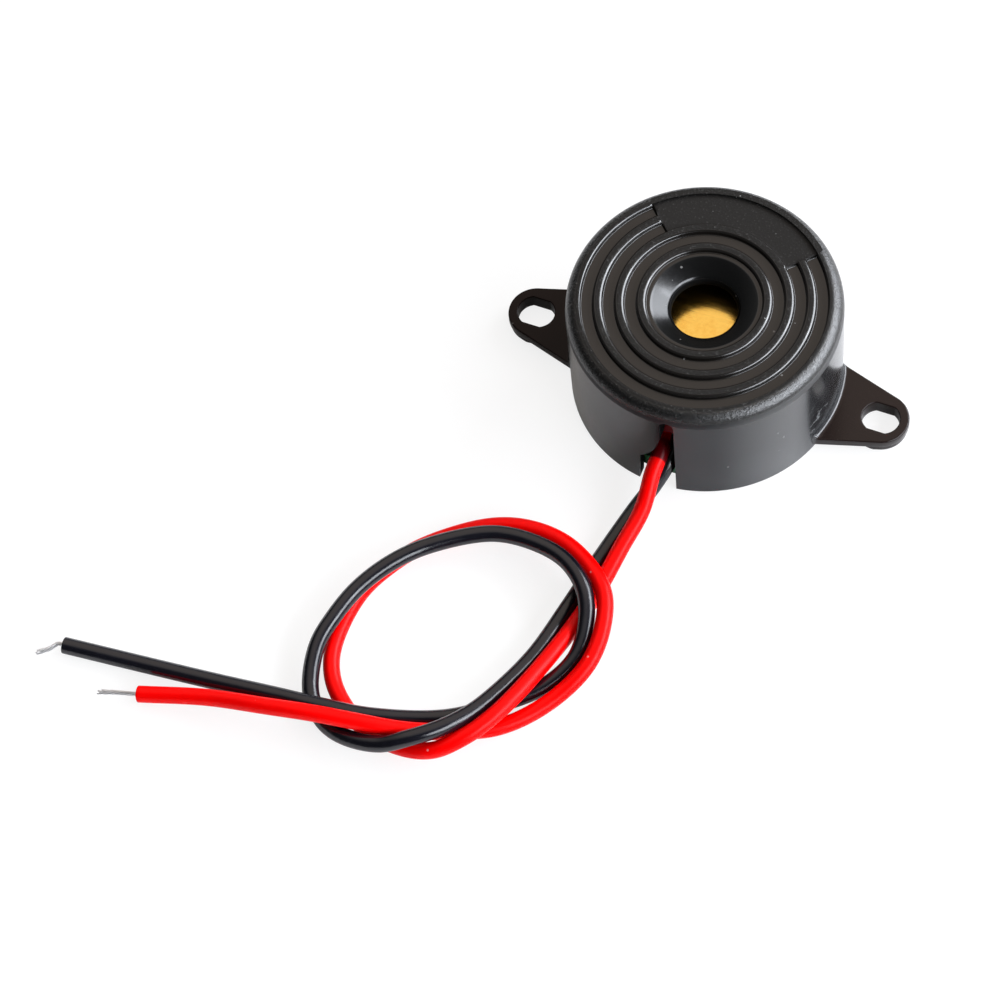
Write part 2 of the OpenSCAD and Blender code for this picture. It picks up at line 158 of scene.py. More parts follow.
def make_piece(name: str, points: np.ndarray, faces: Sequence[np.ndarray]) -> bpy.types.Object:
    """Writes points in millimetres and face arrays into a new smooth-shaded object at the origin.

    Args:
        name: name of the object and its mesh.
        points: array of shape (n, 3).
        faces: arrays of shape (m, k), each with faces of k corners.

    Returns:
        The new object, linked to the scene.
    """
    mesh = bpy.data.meshes.new(name)
    sizes = np.concatenate([np.full(len(f), f.shape[1]) for f in faces])
    corners = np.concatenate([f.ravel() for f in faces])
    mesh.vertices.add(len(points))
    mesh.vertices.foreach_set("co", (points * MM).astype(np.float32).ravel())
    mesh.loops.add(len(corners))
    mesh.loops.foreach_set("vertex_index", corners.astype(np.int32))
    mesh.polygons.add(len(sizes))
    mesh.polygons.foreach_set("loop_start", np.r_[0, np.cumsum(sizes)[:-1]].astype(np.int32))
    mesh.polygons.foreach_set("use_smooth", np.ones(len(sizes), dtype=bool))
    mesh.update(calc_edges=True)
    mesh.validate()
    piece = bpy.data.objects.new(name, mesh)
    bpy.context.scene.collection.objects.link(piece)
    return piece


def catmull_rom(route: Sequence[Sequence[float]], per_span: int) -> np.ndarray:
    """Centripetal Catmull-Rom curve through a route.

    Each span is the usual pyramid of blends between its four points, with knots spaced by the
    square root of the distance between the points. The end points are mirrored outwards.

    Args:
        route: points that the curve passes through.
        per_span: samples in each span.

    Returns:
        Array of shape (samples, 3), ending at the last point of the route.
    """
    given = np.asarray(route, dtype=float)
    longer = np.vstack([2 * given[0] - given[1], given, 2 * given[-1] - given[-2]])
    p0, p1, p2, p3 = (longer[k : len(longer) - 3 + k, None, :] for k in range(4))
    spans = ((p0, p1), (p1, p2), (p2, p3))
    step = [np.sqrt(np.linalg.norm(b - a, axis=-1, keepdims=True)) for a, b in spans]
    t0 = np.zeros_like(step[0])
    t1 = t0 + step[0]
    t2 = t1 + step[1]
    t3 = t2 + step[2]
    t = t1 + (t2 - t1) * np.linspace(0.0, 1.0, per_span, endpoint=False)[None, :, None]
    a1 = (t1 - t) / (t1 - t0) * p0 + (t - t0) / (t1 - t0) * p1
    a2 = (t2 - t) / (t2 - t1) * p1 + (t - t1) / (t2 - t1) * p2
    a3 = (t3 - t) / (t3 - t2) * p2 + (t - t2) / (t3 - t2) * p3
    b1 = (t2 - t) / (t2 - t0) * a1 + (t - t0) / (t2 - t0) * a2
    b2 = (t3 - t) / (t3 - t1) * a2 + (t - t1) / (t3 - t1) * a3
    curve = (t2 - t) / (t2 - t1) * b1 + (t - t1) / (t2 - t1) * b2
    return np.vstack([curve.reshape(-1, 3), given[-1:]])


def even_steps(curve: np.ndarray, step: float) -> np.ndarray:
    """The same curve at equal steps of arc length.

    Args:
        curve: array of shape (n, 3).
        step: wanted distance between samples.

    Returns:
        Array of shape (m, 3) with the same two ends.
    """
    gone = np.r_[0.0, np.cumsum(np.linalg.norm(np.diff(curve, axis=0), axis=1))]
    wanted = np.linspace(0.0, gone[-1], max(3, int(round(gone[-1] / step)) + 1))
    return np.stack([np.interp(wanted, gone, curve[:, k]) for k in range(3)], axis=-1)


def moving_frame(curve: np.ndarray) -> tuple[np.ndarray, np.ndarray, np.ndarray]:
    """Tangent, side and up of a curve, lined up with a nearly upright direction.

    Args:
        curve: array of shape (n, 3).

    Returns:
        Three arrays of unit vectors of shape (n, 3).
    """
    tangent = unit(np.gradient(curve, axis=0))
    nearly_up = np.array([0.0, 0.01, 1.0])
    side = unit(np.cross(tangent, nearly_up))
    return tangent, side, np.cross(side, tangent)


def rounded_corner(
    before: np.ndarray, corner: np.ndarray, after: np.ndarray, cut: float, samples: int
) -> np.ndarray:
    """Rounds a corner of a profile with a rational quadratic arc.

    The arc leaves the two edges at the distance cut from the corner. With the middle weight
    cos 45 it is a true circle on a square corner.

    Args:
        before: previous corner.
        corner: corner to round.
        after: next corner.
        cut: distance from the corner where the arc starts and ends.
        samples: points of the arc.

    Returns:
        Array of shape (samples, 2).
    """
    if samples == 1:
        return corner[None, :]
    start = corner + cut * unit(before - corner)
    end = corner + cut * unit(after - corner)
    t = np.linspace(0.0, 1.0, samples)[:, None]
    w0, w1, w2 = (1 - t) ** 2, 2 * math.cos(math.pi / 4) * t * (1 - t), t**2
    return (w0 * start + w1 * corner + w2 * end) / (w0 + w1 + w2)


def rounded_loop(corners: Sequence[Corner], fill: int = 1) -> np.ndarray:
    """Closed profile from rounded corners, with points filled in along its straight runs.

    Args:
        corners: the corners in order.
        fill: points added along each straight run.

    Returns:
        Array of shape (points, 2), the last one joining the first.
    """
    places, cuts, samples = zip(*corners)
    here = np.asarray(places, dtype=float)
    sharp = zip(np.roll(here, 1, axis=0), here, np.roll(here, -1, axis=0), cuts, samples)
    arcs = [rounded_corner(*corner) for corner in sharp]
    t = np.linspace(0.0, 1.0, fill + 2)[1:-1, None]
    runs = [a[-1] + (b[0] - a[-1]) * t for a, b in zip(arcs, arcs[1:] + arcs[:1])]
    return np.vstack([part for pair in zip(arcs, runs) for part in pair])


def pack_parts(parts: Sequence[Surface]) -> Surface:
    """Joins several surfaces into one.

    Args:
        parts: points and face arrays of each surface.

    Returns:
        All points, and the face arrays with their indices moved up.
    """
    starts = np.r_[0, np.cumsum([len(points) for points, _ in parts])[:-1]]
    moved = [face + start for (_, faces), start in zip(parts, starts) for face in faces]
    return np.vstack([points for points, _ in parts]), moved


def sweep(line: np.ndarray, side: np.ndarray, up: np.ndarray, radius: np.ndarray, sides: int) -> Surface:
    """Carries a circle along a line and closes both ends.

    Ring i is the circle round point i of the line, of radius i, in the plane of side i and up i. A
    pole at each end closes the tube.

    Args:
        line: centres of the rings, shape (n, 3).
        side: side direction of each ring.
        up: up direction of each ring.
        radius: radius of each ring.
        sides: points round a ring.

    Returns:
        The tube's surface.
    """
    turn = (2 * math.pi * np.arange(sides) / sides)[None, :, None]
    spokes = np.cos(turn) * side[:, None, :] + np.sin(turn) * up[:, None, :]
    rings = line[:, None, :] + radius[:, None, None] * spokes
    count = len(line)
    points = np.vstack([rings.reshape(-1, 3), line[:1], line[-1:]])
    near_end = fan(0, sides, count * sides, False)
    far_end = fan((count - 1) * sides, sides, count * sides + 1, True)
    return points, [grid_quads(count, sides, False, True), near_end, far_end]


# Shader wiring


class Wiring:
    """Adds nodes to one shader tree and links them to a net."""

    def __init__(self, tree: bpy.types.NodeTree) -> None:
        """Keeps the tree that nodes go into."""
        self.tree = tree

    def node(self, kind: str, **settings: object) -> bpy.types.Node:
        """Adds a node.

        Args:
            kind: type of the node.
            settings: value of each property to set.

        Returns:
            The node.
        """
        made = self.tree.nodes.new(kind)
        for key, value in settings.items():
            setattr(made, key, value)
        return made

    def feed(self, target: Socket, value: Feed) -> None:
        """Links a socket to a target, or sets a constant on it.

        Args:
            target: input that takes the value.
            value: socket to link, or constant to set.
        """
        if isinstance(value, Socket):
            self.tree.links.new(value, target)
        else:
            target.default_value = value

    def output(self, kind: str, values: dict[Key, Feed], pick: Key = 0, **settings: object) -> Socket:
        """Adds a node and fills some of its inputs.

        Args:
            kind: type of the node.
            values: value or socket for each input, by its name or number.
            pick: name or number of the wanted output.
            settings: value of each property to set.

        Returns:
            The wanted output.
        """
        made = self.node(kind, **settings)
        for key, value in values.items():
            self.feed(made.inputs[key], value)
        return made.outputs[pick]

    def math(self, operation: str, a: Feed, b: Feed, clamp: bool = False) -> Socket:
        """Result of a Math node, kept within 0 to 1 where clamp is set."""
        return self.output("ShaderNodeMath", {0: a, 1: b}, operation=operation, use_clamp=clamp)

    def times(self, a: Feed, b: Feed) -> Socket:
        """Product of two values."""
        return self.math("MULTIPLY", a, b)

    def either(self, a: Feed, b: Feed) -> Socket:
        """The greater of two values, which joins two masks."""
        return self.math("MAXIMUM", a, b)

    def step(self, value: Socket, low: float, high: float) -> Socket:
        """Smooth step of a value from 0 at low to 1 at high."""
        ends = {"Value": value, "From Min": low, "From Max": high}
        return self.output("ShaderNodeMapRange", ends, interpolation_type="SMOOTHSTEP")

    def step_mm(self, value: Socket, low: float, high: float) -> Socket:
        """Smooth step of a length, with both ends in millimetres."""
        return self.step(value, low * MM, high * MM)

    def between(self, value: Socket, low: float, high: float) -> Socket:
        """Maps a value from 0..1 to low..high."""
        return self.output("ShaderNodeMapRange", {"Value": value, "To Min": low, "To Max": high})

    def blend(self, factor: Feed, a: Feed, b: Feed) -> Socket:
        """Mixes two colours by a factor."""
        values = {0: factor, 6: rgba(a), 7: rgba(b)}
        return self.output("ShaderNodeMix", values, pick=2, data_type="RGBA")

    def mix_values(self, factor: Feed, a: Feed, b: Feed) -> Socket:
        """Mixes two values by a factor."""
        return self.output("ShaderNodeMix", {0: factor, 2: a, 3: b}, data_type="FLOAT")

    def layered(self, mix: Callable[..., Socket], base: Feed, layers: Sequence[tuple[Feed, Feed]]) -> Feed:
        """Lays colours or values over a base one after another.

        Args:
            mix: blend for colours, or mix_values for values.
            base: what the layers go over.
            layers: mask of each layer, with its colour or value.

        Returns:
            The result.
        """
        for mask, over in layers:
            base = mix(mask, base, over)
        return base

    def noise(self, place: Socket, scale: Feed, detail: float = 2.0, rough: float = 0.5) -> Socket:
        """Noise value at a place."""
        values = {"Vector": place, "Scale": scale, "Detail": detail, "Roughness": rough}
        return self.output("ShaderNodeTexNoise", values)

    def stretched(self, place: Socket, scale: Sequence[float]) -> Socket:
        """A place scaled by a different factor along each axis."""
        return self.output("ShaderNodeMapping", {"Vector": place, "Scale": scale})

    def axis_distance(self, place: Socket) -> Socket:
        """Distance of a place from the upright axis."""
        level = self.stretched(place, (1.0, 1.0, 0.0))
        return self.output("ShaderNodeVectorMath", {0: level}, pick="Value", operation="LENGTH")

    def bump(self, height: Socket, distance: float, strength: float) -> Socket:
        """Bumped normal from a height, with the distance in metres."""
        return self.output("ShaderNodeBump", {"Height": height, "Distance": distance, "Strength": strength})

    def effect(self, tree: bpy.types.NodeTree, **values: Feed) -> Socket:
        """First output of a shared group, with a value or socket for each named input."""
        return self.output("ShaderNodeGroup", values, node_tree=tree)


def rgba(colour: Feed) -> Feed:
    """Colour with full alpha; a socket stays as it is."""
    return colour if isinstance(colour, Socket) else (*colour, 1.0)


def new_group(
    name: str, inputs: Sequence[tuple[str, str, float]], outputs: Sequence[tuple[str, str]]
) -> tuple[bpy.types.NodeTree, Wiring, bpy.types.Node, bpy.types.Node]:
    """Starts a shader node group with named sockets.

    Args:
        name: name of the group.
        inputs: name, socket type and default of each input.
        outputs: name and socket type of each output.

    Returns:
        The tree, its wiring, its input node and its output node.
    """
    tree = bpy.data.node_groups.new(name, "ShaderNodeTree")
    for label, kind, default in inputs:
        made = tree.interface.new_socket(label, in_out="INPUT", socket_type=kind)
        if kind == "NodeSocketFloat":
            made.default_value = default
    for label, kind in outputs:
        tree.interface.new_socket(label, in_out="OUTPUT", socket_type=kind)
    wiring = Wiring(tree)
    return tree, wiring, wiring.node("NodeGroupInput"), wiring.node("NodeGroupOutput")


class SharedEffects:
    """Node groups that more than one finish places in its material."""

    made: dict[str, bpy.types.NodeTree] = {}
    speck_size: Band = (0.08, 0.3)

    @classmethod
    def specks(cls) -> bpy.types.NodeTree:
        """Dust: small round specks of mixed size in a few cells of a Voronoi lattice.

        Returns:
            Group with inputs Place, Scale and Share, and output Mask.
        """
        if "specks" not in cls.made:
            tree, net, given, out = new_group(
                "dust_specks",
                [
                    ("Place", "NodeSocketVector", 0.0),
                    ("Scale", "NodeSocketFloat", 1200.0),
                    ("Share", "NodeSocketFloat", 0.1),
                ],
                [("Mask", "NodeSocketFloat")],
            )
            cells = net.node("ShaderNodeTexVoronoi")
            net.feed(cells.inputs["Vector"], given.outputs["Place"])
            net.feed(cells.inputs["Scale"], given.outputs["Scale"])
            pick = net.node("ShaderNodeSeparateColor")
            net.feed(pick.inputs[0], cells.outputs["Color"])
            chosen = net.math("LESS_THAN", pick.outputs[0], given.outputs["Share"])
            size = net.between(pick.outputs[1], *cls.speck_size)
            near = net.math("LESS_THAN", cells.outputs["Distance"], size)
            net.feed(out.inputs["Mask"], net.times(chosen, near))
            cls.made["specks"] = tree
        return cls.made["specks"]

    @classmethod
    def cloud(cls) -> bpy.types.NodeTree:
        """Uneven tone: two sizes of noise laid over each other, centred on one half.

        Returns:
            Group with inputs Place, Scale and Fine, and output Tone.
        """
        if "cloud" not in cls.made:
            tree, net, given, out = new_group(
                "uneven_tone",
                [
                    ("Place", "NodeSocketVector", 0.0),
                    ("Scale", "NodeSocketFloat", 200.0),
                    ("Fine", "NodeSocketFloat", 2500.0),
                ],
                [("Tone", "NodeSocketFloat")],
            )
            broad = net.noise(given.outputs["Place"], given.outputs["Scale"])
            fine = net.noise(given.outputs["Place"], given.outputs["Fine"], detail=4.0)
            net.feed(out.inputs["Tone"], net.times(net.math("ADD", broad, fine), 0.5))
            cls.made["cloud"] = tree
        return cls.made["cloud"]


def new_material(name: str) -> tuple[bpy.types.Material, Wiring, bpy.types.Node, Socket]:
    """Starts a node material.

    Args:
        name: name of the material.

    Returns:
        The material, its wiring, its Principled shader and its object coordinates.
    """
    material = bpy.data.materials.new(name)
    material.use_nodes = True
    net = Wiring(material.node_tree)
    shader = next(n for n in material.node_tree.nodes if n.type == "BSDF_PRINCIPLED")
    return material, net, shader, net.node("ShaderNodeTexCoord").outputs["Object"]


def dress(piece: bpy.types.Object, material: bpy.types.Material) -> None:
    """Gives a piece one material in place of the ones it has."""
    piece.data.materials.clear()
    piece.data.materials.append(material)


# Finishes


@dataclass
class CaseMasks:
    """Where each kind of surface lies on the case, as shader values from 0 to 1, and the place along X."""

    lands: Socket
    outer: Socket
    rim: Socket
    pad: Socket
    wall: Socket
    ears: Socket
    edges: Socket
    inside: Socket
    funnel: Socket
    foot: Socket
    scuffs: Socket
    across: Socket


@dataclass(frozen=True)
class CasePlastic:
    """Black moulded plastic: grained lands, smooth brown-black grooves, satin wall, scuffs and dust, with
    painted shade darkening the funnel and the inside.

    Bands that end in z, r and x are heights, distances from the axis and places along X in
    millimetres, each from where its mask is 0 to where it is 1.
    """

    smooth_tone: Colour = (0.0075, 0.0062, 0.0052)
    land_tone: Colour = (0.006, 0.006, 0.0058)
    ear_tone: Colour = (0.011, 0.0062, 0.0052)
    wall_tone: Colour = (0.011, 0.0116, 0.0128)
    fleck_tone: Colour = (0.075, 0.074, 0.071)
    scuff_tone: Colour = (0.3, 0.31, 0.31)
    dust_tone: Colour = (0.45, 0.45, 0.44)
    level_slope: Band = (0.93, 0.99)
    land_z: Band = (11.91, 11.98)
    rim_z: Band = (10.9, 11.5)
    rim_r: Band = (10.3, 10.5)
    pad_low_z: Band = (11.69, 11.72)
    pad_high_z: Band = (11.85, 11.8)
    pad_r: Band = (7.35, 7.45)
    wall_r: Band = (11.3, 11.45)
    ear_r: Band = (11.55, 11.85)
    edge_z: Band = (11.4, 11.7)
    inside_z: Band = (10.62, 10.5)
    inside_r: Band = (11.4, 11.3)
    funnel_r: Band = (4.6, 4.4)
    foot_low_z: Band = (10.45, 10.7)
    foot_high_z: Band = (11.3, 11.05)
    scuff_at: tuple[float, float, float] = (11.0, -3.4, 4.6)
    scuff_r: Band = (3.0, 1.2)
    scuff_scale: float = 1100.0
    scuff_break: Band = (0.54, 0.68)
    scuff_share: float = 0.6
    grain_scale: float = 5200.0
    grain_relief: float = 0.00007
    smooth_relief: float = 0.04
    pad_grain: float = 0.5
    fleck_band: Band = (0.56, 0.76)
    fleck_share: float = 0.85
    dust_share: Band = (0.3, 0.8)
    smooth_roughness: float = 0.2
    land_roughness: float = 0.42
    rim_roughness: float = 0.27
    foot_roughness: float = 0.48
    inside_roughness: float = 0.75
    pad_roughness: float = 0.6
    roughness_spread: float = 0.14
    case_gloss: float = 0.5
    left_wall_x: Band = (1.5, -1.5)
    right_wall_x: Band = (4.5, 10.5)
    left_wall_gloss: float = 0.4
    front_wall_gloss: float = 0.18
    right_wall_gloss: float = 0.95
    foot_x: Band = (7.0, 3.0)
    foot_gloss: float = 0.1
    land_gloss: float = 0.26
    edge_gloss: float = 0.85
    rim_x: Band = (-4.0, 7.0)
    rim_gloss: Band = (0.3, 1.0)
    inside_gloss: float = 0.06
    ear_x: Band = (-11.45, 11.45)
    ear_gloss: Band = (0.1, 0.26)

    def material(self) -> bpy.types.Material:
        """Builds the material: masks pick tone, roughness and gloss, and grain gives the relief.

        Returns:
            The material.
        """
        material, net, shader, place = new_material("case_plastic")
        masks = self.masks(net, place)
        grained = net.either(masks.lands, masks.rim)
        textured = net.either(grained, net.times(masks.pad, self.pad_grain))
        grain = net.noise(place, self.grain_scale, detail=3.0, rough=0.66)
        flecks = net.times(net.step(grain, *self.fleck_band), textured)
        specks = net.effect(SharedEffects.specks(), Place=place, Scale=3000.0, Share=0.016)
        tone_layers = (
            (masks.ears, self.ear_tone),
            # Painted shade: the funnel and the inside of the case are a darker black than the rest
            (net.either(masks.inside, masks.funnel), PAINTED_SHADE_BLACK),
            (textured, self.land_tone),
            (net.times(flecks, self.fleck_share), self.fleck_tone),
            (net.times(masks.scuffs, self.scuff_share), self.scuff_tone),
            (net.times(specks, net.between(grained, *self.dust_share)), self.dust_tone),
        )
        tone = net.blend(masks.wall, self.smooth_tone, self.wall_tone)
        relief = net.times(grain, net.between(textured, self.smooth_relief, 1.0))
        net.feed(shader.inputs["Base Color"], net.layered(net.blend, tone, tone_layers))
        net.feed(shader.inputs["Roughness"], self.roughness(net, masks, place))
        net.feed(shader.inputs["Specular IOR Level"], self.gloss(net, masks))
        net.feed(shader.inputs["Normal"], net.bump(relief, self.grain_relief, strength=0.9))
        shader.inputs["IOR"].default_value = PLASTIC_IOR
        return material

    def masks(self, net: Wiring, place: Socket) -> CaseMasks:
        """Picks the surfaces by height, distance from the axis and slope.

        Args:
            net: wiring of the material.
            place: object coordinates.

        Returns:
            The masks.
        """
        split = net.node("ShaderNodeSeparateXYZ")
        net.feed(split.inputs[0], place)
        height = split.outputs["Z"]
        radius = net.axis_distance(place)
        normal = net.node("ShaderNodeNewGeometry").outputs["Normal"]
        level = net.step(net.output("ShaderNodeSeparateXYZ", {0: normal}, pick="Z"), *self.level_slope)
        outer = net.step_mm(radius, *self.rim_r)
        wall = net.step_mm(radius, *self.wall_r)
        pad = net.times(net.step_mm(height, *self.pad_low_z), net.step_mm(height, *self.pad_high_z))
        pad = net.times(pad, net.step_mm(radius, *self.pad_r))
        foot = net.times(net.step_mm(height, *self.foot_low_z), net.step_mm(height, *self.foot_high_z))
        sloped = net.math("SUBTRACT", 1.0, level)
        return CaseMasks(
            lands=net.times(net.step_mm(height, *self.land_z), level),
            outer=outer,
            rim=net.times(outer, net.step_mm(height, *self.rim_z)),
            pad=net.times(pad, net.math("SUBTRACT", 1.0, outer)),
            wall=wall,
            ears=net.step_mm(radius, *self.ear_r),
            edges=net.times(sloped, net.step_mm(height, *self.edge_z)),
            inside=net.times(net.step_mm(height, *self.inside_z), net.step_mm(radius, *self.inside_r)),
            funnel=net.step_mm(radius, *self.funnel_r),
            foot=net.times(foot, wall),
            scuffs=self.scuffs(net, place),
            across=split.outputs["X"],
        )

    def scuffs(self, net: Wiring, place: Socket) -> Socket:
        """Rubbed patch on the wall beside the right ear: broken noise that fades with distance.

        Args:
            net: wiring of the material.
            place: object coordinates.

        Returns:
            Mask from 0 to 1.
        """
        ends = {0: place, 1: tuple(along * MM for along in self.scuff_at)}
        away = net.output("ShaderNodeVectorMath", ends, pick="Value", operation="DISTANCE")
        broken = net.step(net.noise(place, self.scuff_scale, detail=5.0, rough=0.7), *self.scuff_break)
        return net.times(net.step_mm(away, *self.scuff_r), broken)

    def roughness(self, net: Wiring, masks: CaseMasks, place: Socket) -> Socket:
        """Roughness of each surface, a little uneven all over.

        Args:
            net: wiring of the material.
            masks: where the surfaces lie.
            place: object coordinates.

        Returns:
            The roughness.
        """
        layers = (
            (masks.inside, self.inside_roughness),
            (masks.rim, self.rim_roughness),
            (masks.foot, self.foot_roughness),
            (masks.lands, self.land_roughness),
            (masks.pad, self.pad_roughness),
            (masks.scuffs, self.land_roughness),
        )
        even = net.layered(net.mix_values, self.smooth_roughness, layers)
        cloud = net.effect(SharedEffects.cloud(), Place=place, Scale=150.0, Fine=1800.0)
        uneven = net.times(net.math("SUBTRACT", cloud, 0.5), self.roughness_spread)
        return net.math("ADD", even, uneven, clamp=True)

    def gloss(self, net: Wiring, masks: CaseMasks) -> Socket:
        """Specular level of each surface; wall, rim and ears have more of it on the right.

        Args:
            net: wiring of the material.
            masks: where the surfaces lie.

        Returns:
            The specular level.
        """
        right = net.step_mm(masks.across, *self.right_wall_x)
        left = net.step_mm(masks.across, *self.left_wall_x)
        wall = net.between(right, self.front_wall_gloss, self.right_wall_gloss)
        layers = (
            (masks.wall, net.mix_values(left, wall, self.left_wall_gloss)),
            (masks.edges, self.edge_gloss),
            (
                net.times(masks.outer, masks.edges),
                net.between(net.step_mm(masks.across, *self.rim_x), *self.rim_gloss),
            ),
            (net.times(masks.foot, net.step_mm(masks.across, *self.foot_x)), self.foot_gloss),
            (net.either(masks.lands, masks.pad), self.land_gloss),
            (masks.inside, self.inside_gloss),
            (masks.ears, net.between(net.step_mm(masks.across, *self.ear_x), *self.ear_gloss)),
        )
        return net.layered(net.mix_values, self.case_gloss, layers)


@dataclass(frozen=True)
class Insulation:
    """Glossy soft plastic of a lead, with faint draw lines along its length.

    Between the two bands, which are distances from the axis, the lead lies behind the wall, and there its
    colour is the inner one, a painted shade.
    """

    name: str
    base: Colour
    shade: Colour
    # Painted shade: colour of the stretch of lead just behind the wall
    inner: Colour
    roughness: float
    gloss: float
    dust_tone: Colour = (0.6, 0.6, 0.6)
    dust_share: float = 0.3
    shade_band: Band = (0.35, 0.7)
    free_r: Band = (11.45, 11.65)
    deep_r: Band = (10.2, 9.2)
    smoother: float = 0.1
    rougher: float = 0.12
    line_scale: tuple[float, float, float] = (6.0, 40.0, 1.0)
    line_share: float = 0.5
    relief: float = 0.00004

    def material(self) -> bpy.types.Material:
        """Builds the material: draw lines by the lead's own UV map, and painted shade on the stretch just
        behind the wall.

        Returns:
            The material.
        """
        material, net, shader, place = new_material(self.name)
        along = net.node("ShaderNodeUVMap", uv_map=UV_NAME).outputs[0]
        lines = net.noise(net.stretched(along, self.line_scale), 1.0, detail=3.0)
        cloud = net.effect(SharedEffects.cloud(), Place=place, Scale=300.0, Fine=2200.0)
        specks = net.effect(SharedEffects.specks(), Place=place, Scale=2400.0, Share=0.008)
        tone = net.blend(net.step(cloud, *self.shade_band), self.shade, self.base)
        tone = net.blend(net.times(specks, self.dust_share), tone, self.dust_tone)
        away = net.axis_distance(place)
        # Painted shade: between the outside of the wall and deep inside, the lead takes the inner colour
        lit = net.either(net.step_mm(away, *self.free_r), net.step_mm(away, *self.deep_r))
        rough = net.between(cloud, self.roughness - self.smoother, self.roughness + self.rougher)
        relief = net.math("ADD", net.times(lines, self.line_share), cloud)
        net.feed(shader.inputs["Base Color"], net.blend(lit, self.inner, tone))
        net.feed(shader.inputs["Roughness"], rough)
        net.feed(shader.inputs["Normal"], net.bump(relief, self.relief, strength=0.3))
        shader.inputs["IOR"].default_value = PLASTIC_IOR
        shader.inputs["Specular IOR Level"].default_value = self.gloss
        return material


@dataclass(frozen=True)
class BareMetal:
    """Metal with rolling marks in one direction and cloudy tarnish."""

    name: str
    base: Colour
    tarnish: Colour
    roughness: float
    marks: tuple[float, float, float] = (400.0, 4000.0, 400.0)
    tarnish_band: Band = (0.42, 0.68)
    smoother: float = 0.08
    rougher: float = 0.14
    relief: float = 0.00002

    def material(self) -> bpy.types.Material:
        """Builds the material.

        Returns:
            The material.
        """
        material, net, shader, place = new_material(self.name)
        marks = net.noise(net.stretched(place, self.marks), 1.0, detail=3.0)
        cloud = net.effect(SharedEffects.cloud(), Place=place, Scale=260.0, Fine=3000.0)
        tone = net.blend(net.step(cloud, *self.tarnish_band), self.base, self.tarnish)
        rough = net.between(marks, self.roughness - self.smoother, self.roughness + self.rougher)
        net.feed(shader.inputs["Base Color"], tone)
        net.feed(shader.inputs["Roughness"], rough)
        net.feed(shader.inputs["Normal"], net.bump(marks, self.relief, strength=0.4))
        shader.inputs["Metallic"].default_value = 1.0
        return material


@dataclass(frozen=True)
class Moulded:
    """Non-metal of the hidden pieces: even grain, cloudy tone and a soft sheen."""

    name: str
    base: Colour
    shade: Colour
    roughness: float
    grain: float = 3500.0
    gloss: float = 0.5
    shade_band: Band = (0.3, 0.7)
    spread: float = 0.1
    relief: float = 0.00003

    def material(self) -> bpy.types.Material:
        """Builds the material.

        Returns:
            The material.
        """
        material, net, shader, place = new_material(self.name)
        grain = net.noise(place, self.grain, detail=4.0)
        cloud = net.effect(SharedEffects.cloud(), Place=place, Scale=240.0, Fine=self.grain)
        tone = net.blend(net.step(cloud, *self.shade_band), self.shade, self.base)
        rough = net.between(cloud, self.roughness - self.spread, self.roughness + self.spread)
        net.feed(shader.inputs["Base Color"], tone)
        net.feed(shader.inputs["Roughness"], rough)
        net.feed(shader.inputs["Normal"], net.bump(grain, self.relief, strength=0.5))
        shader.inputs["Specular IOR Level"].default_value = self.gloss
        return material


# The case


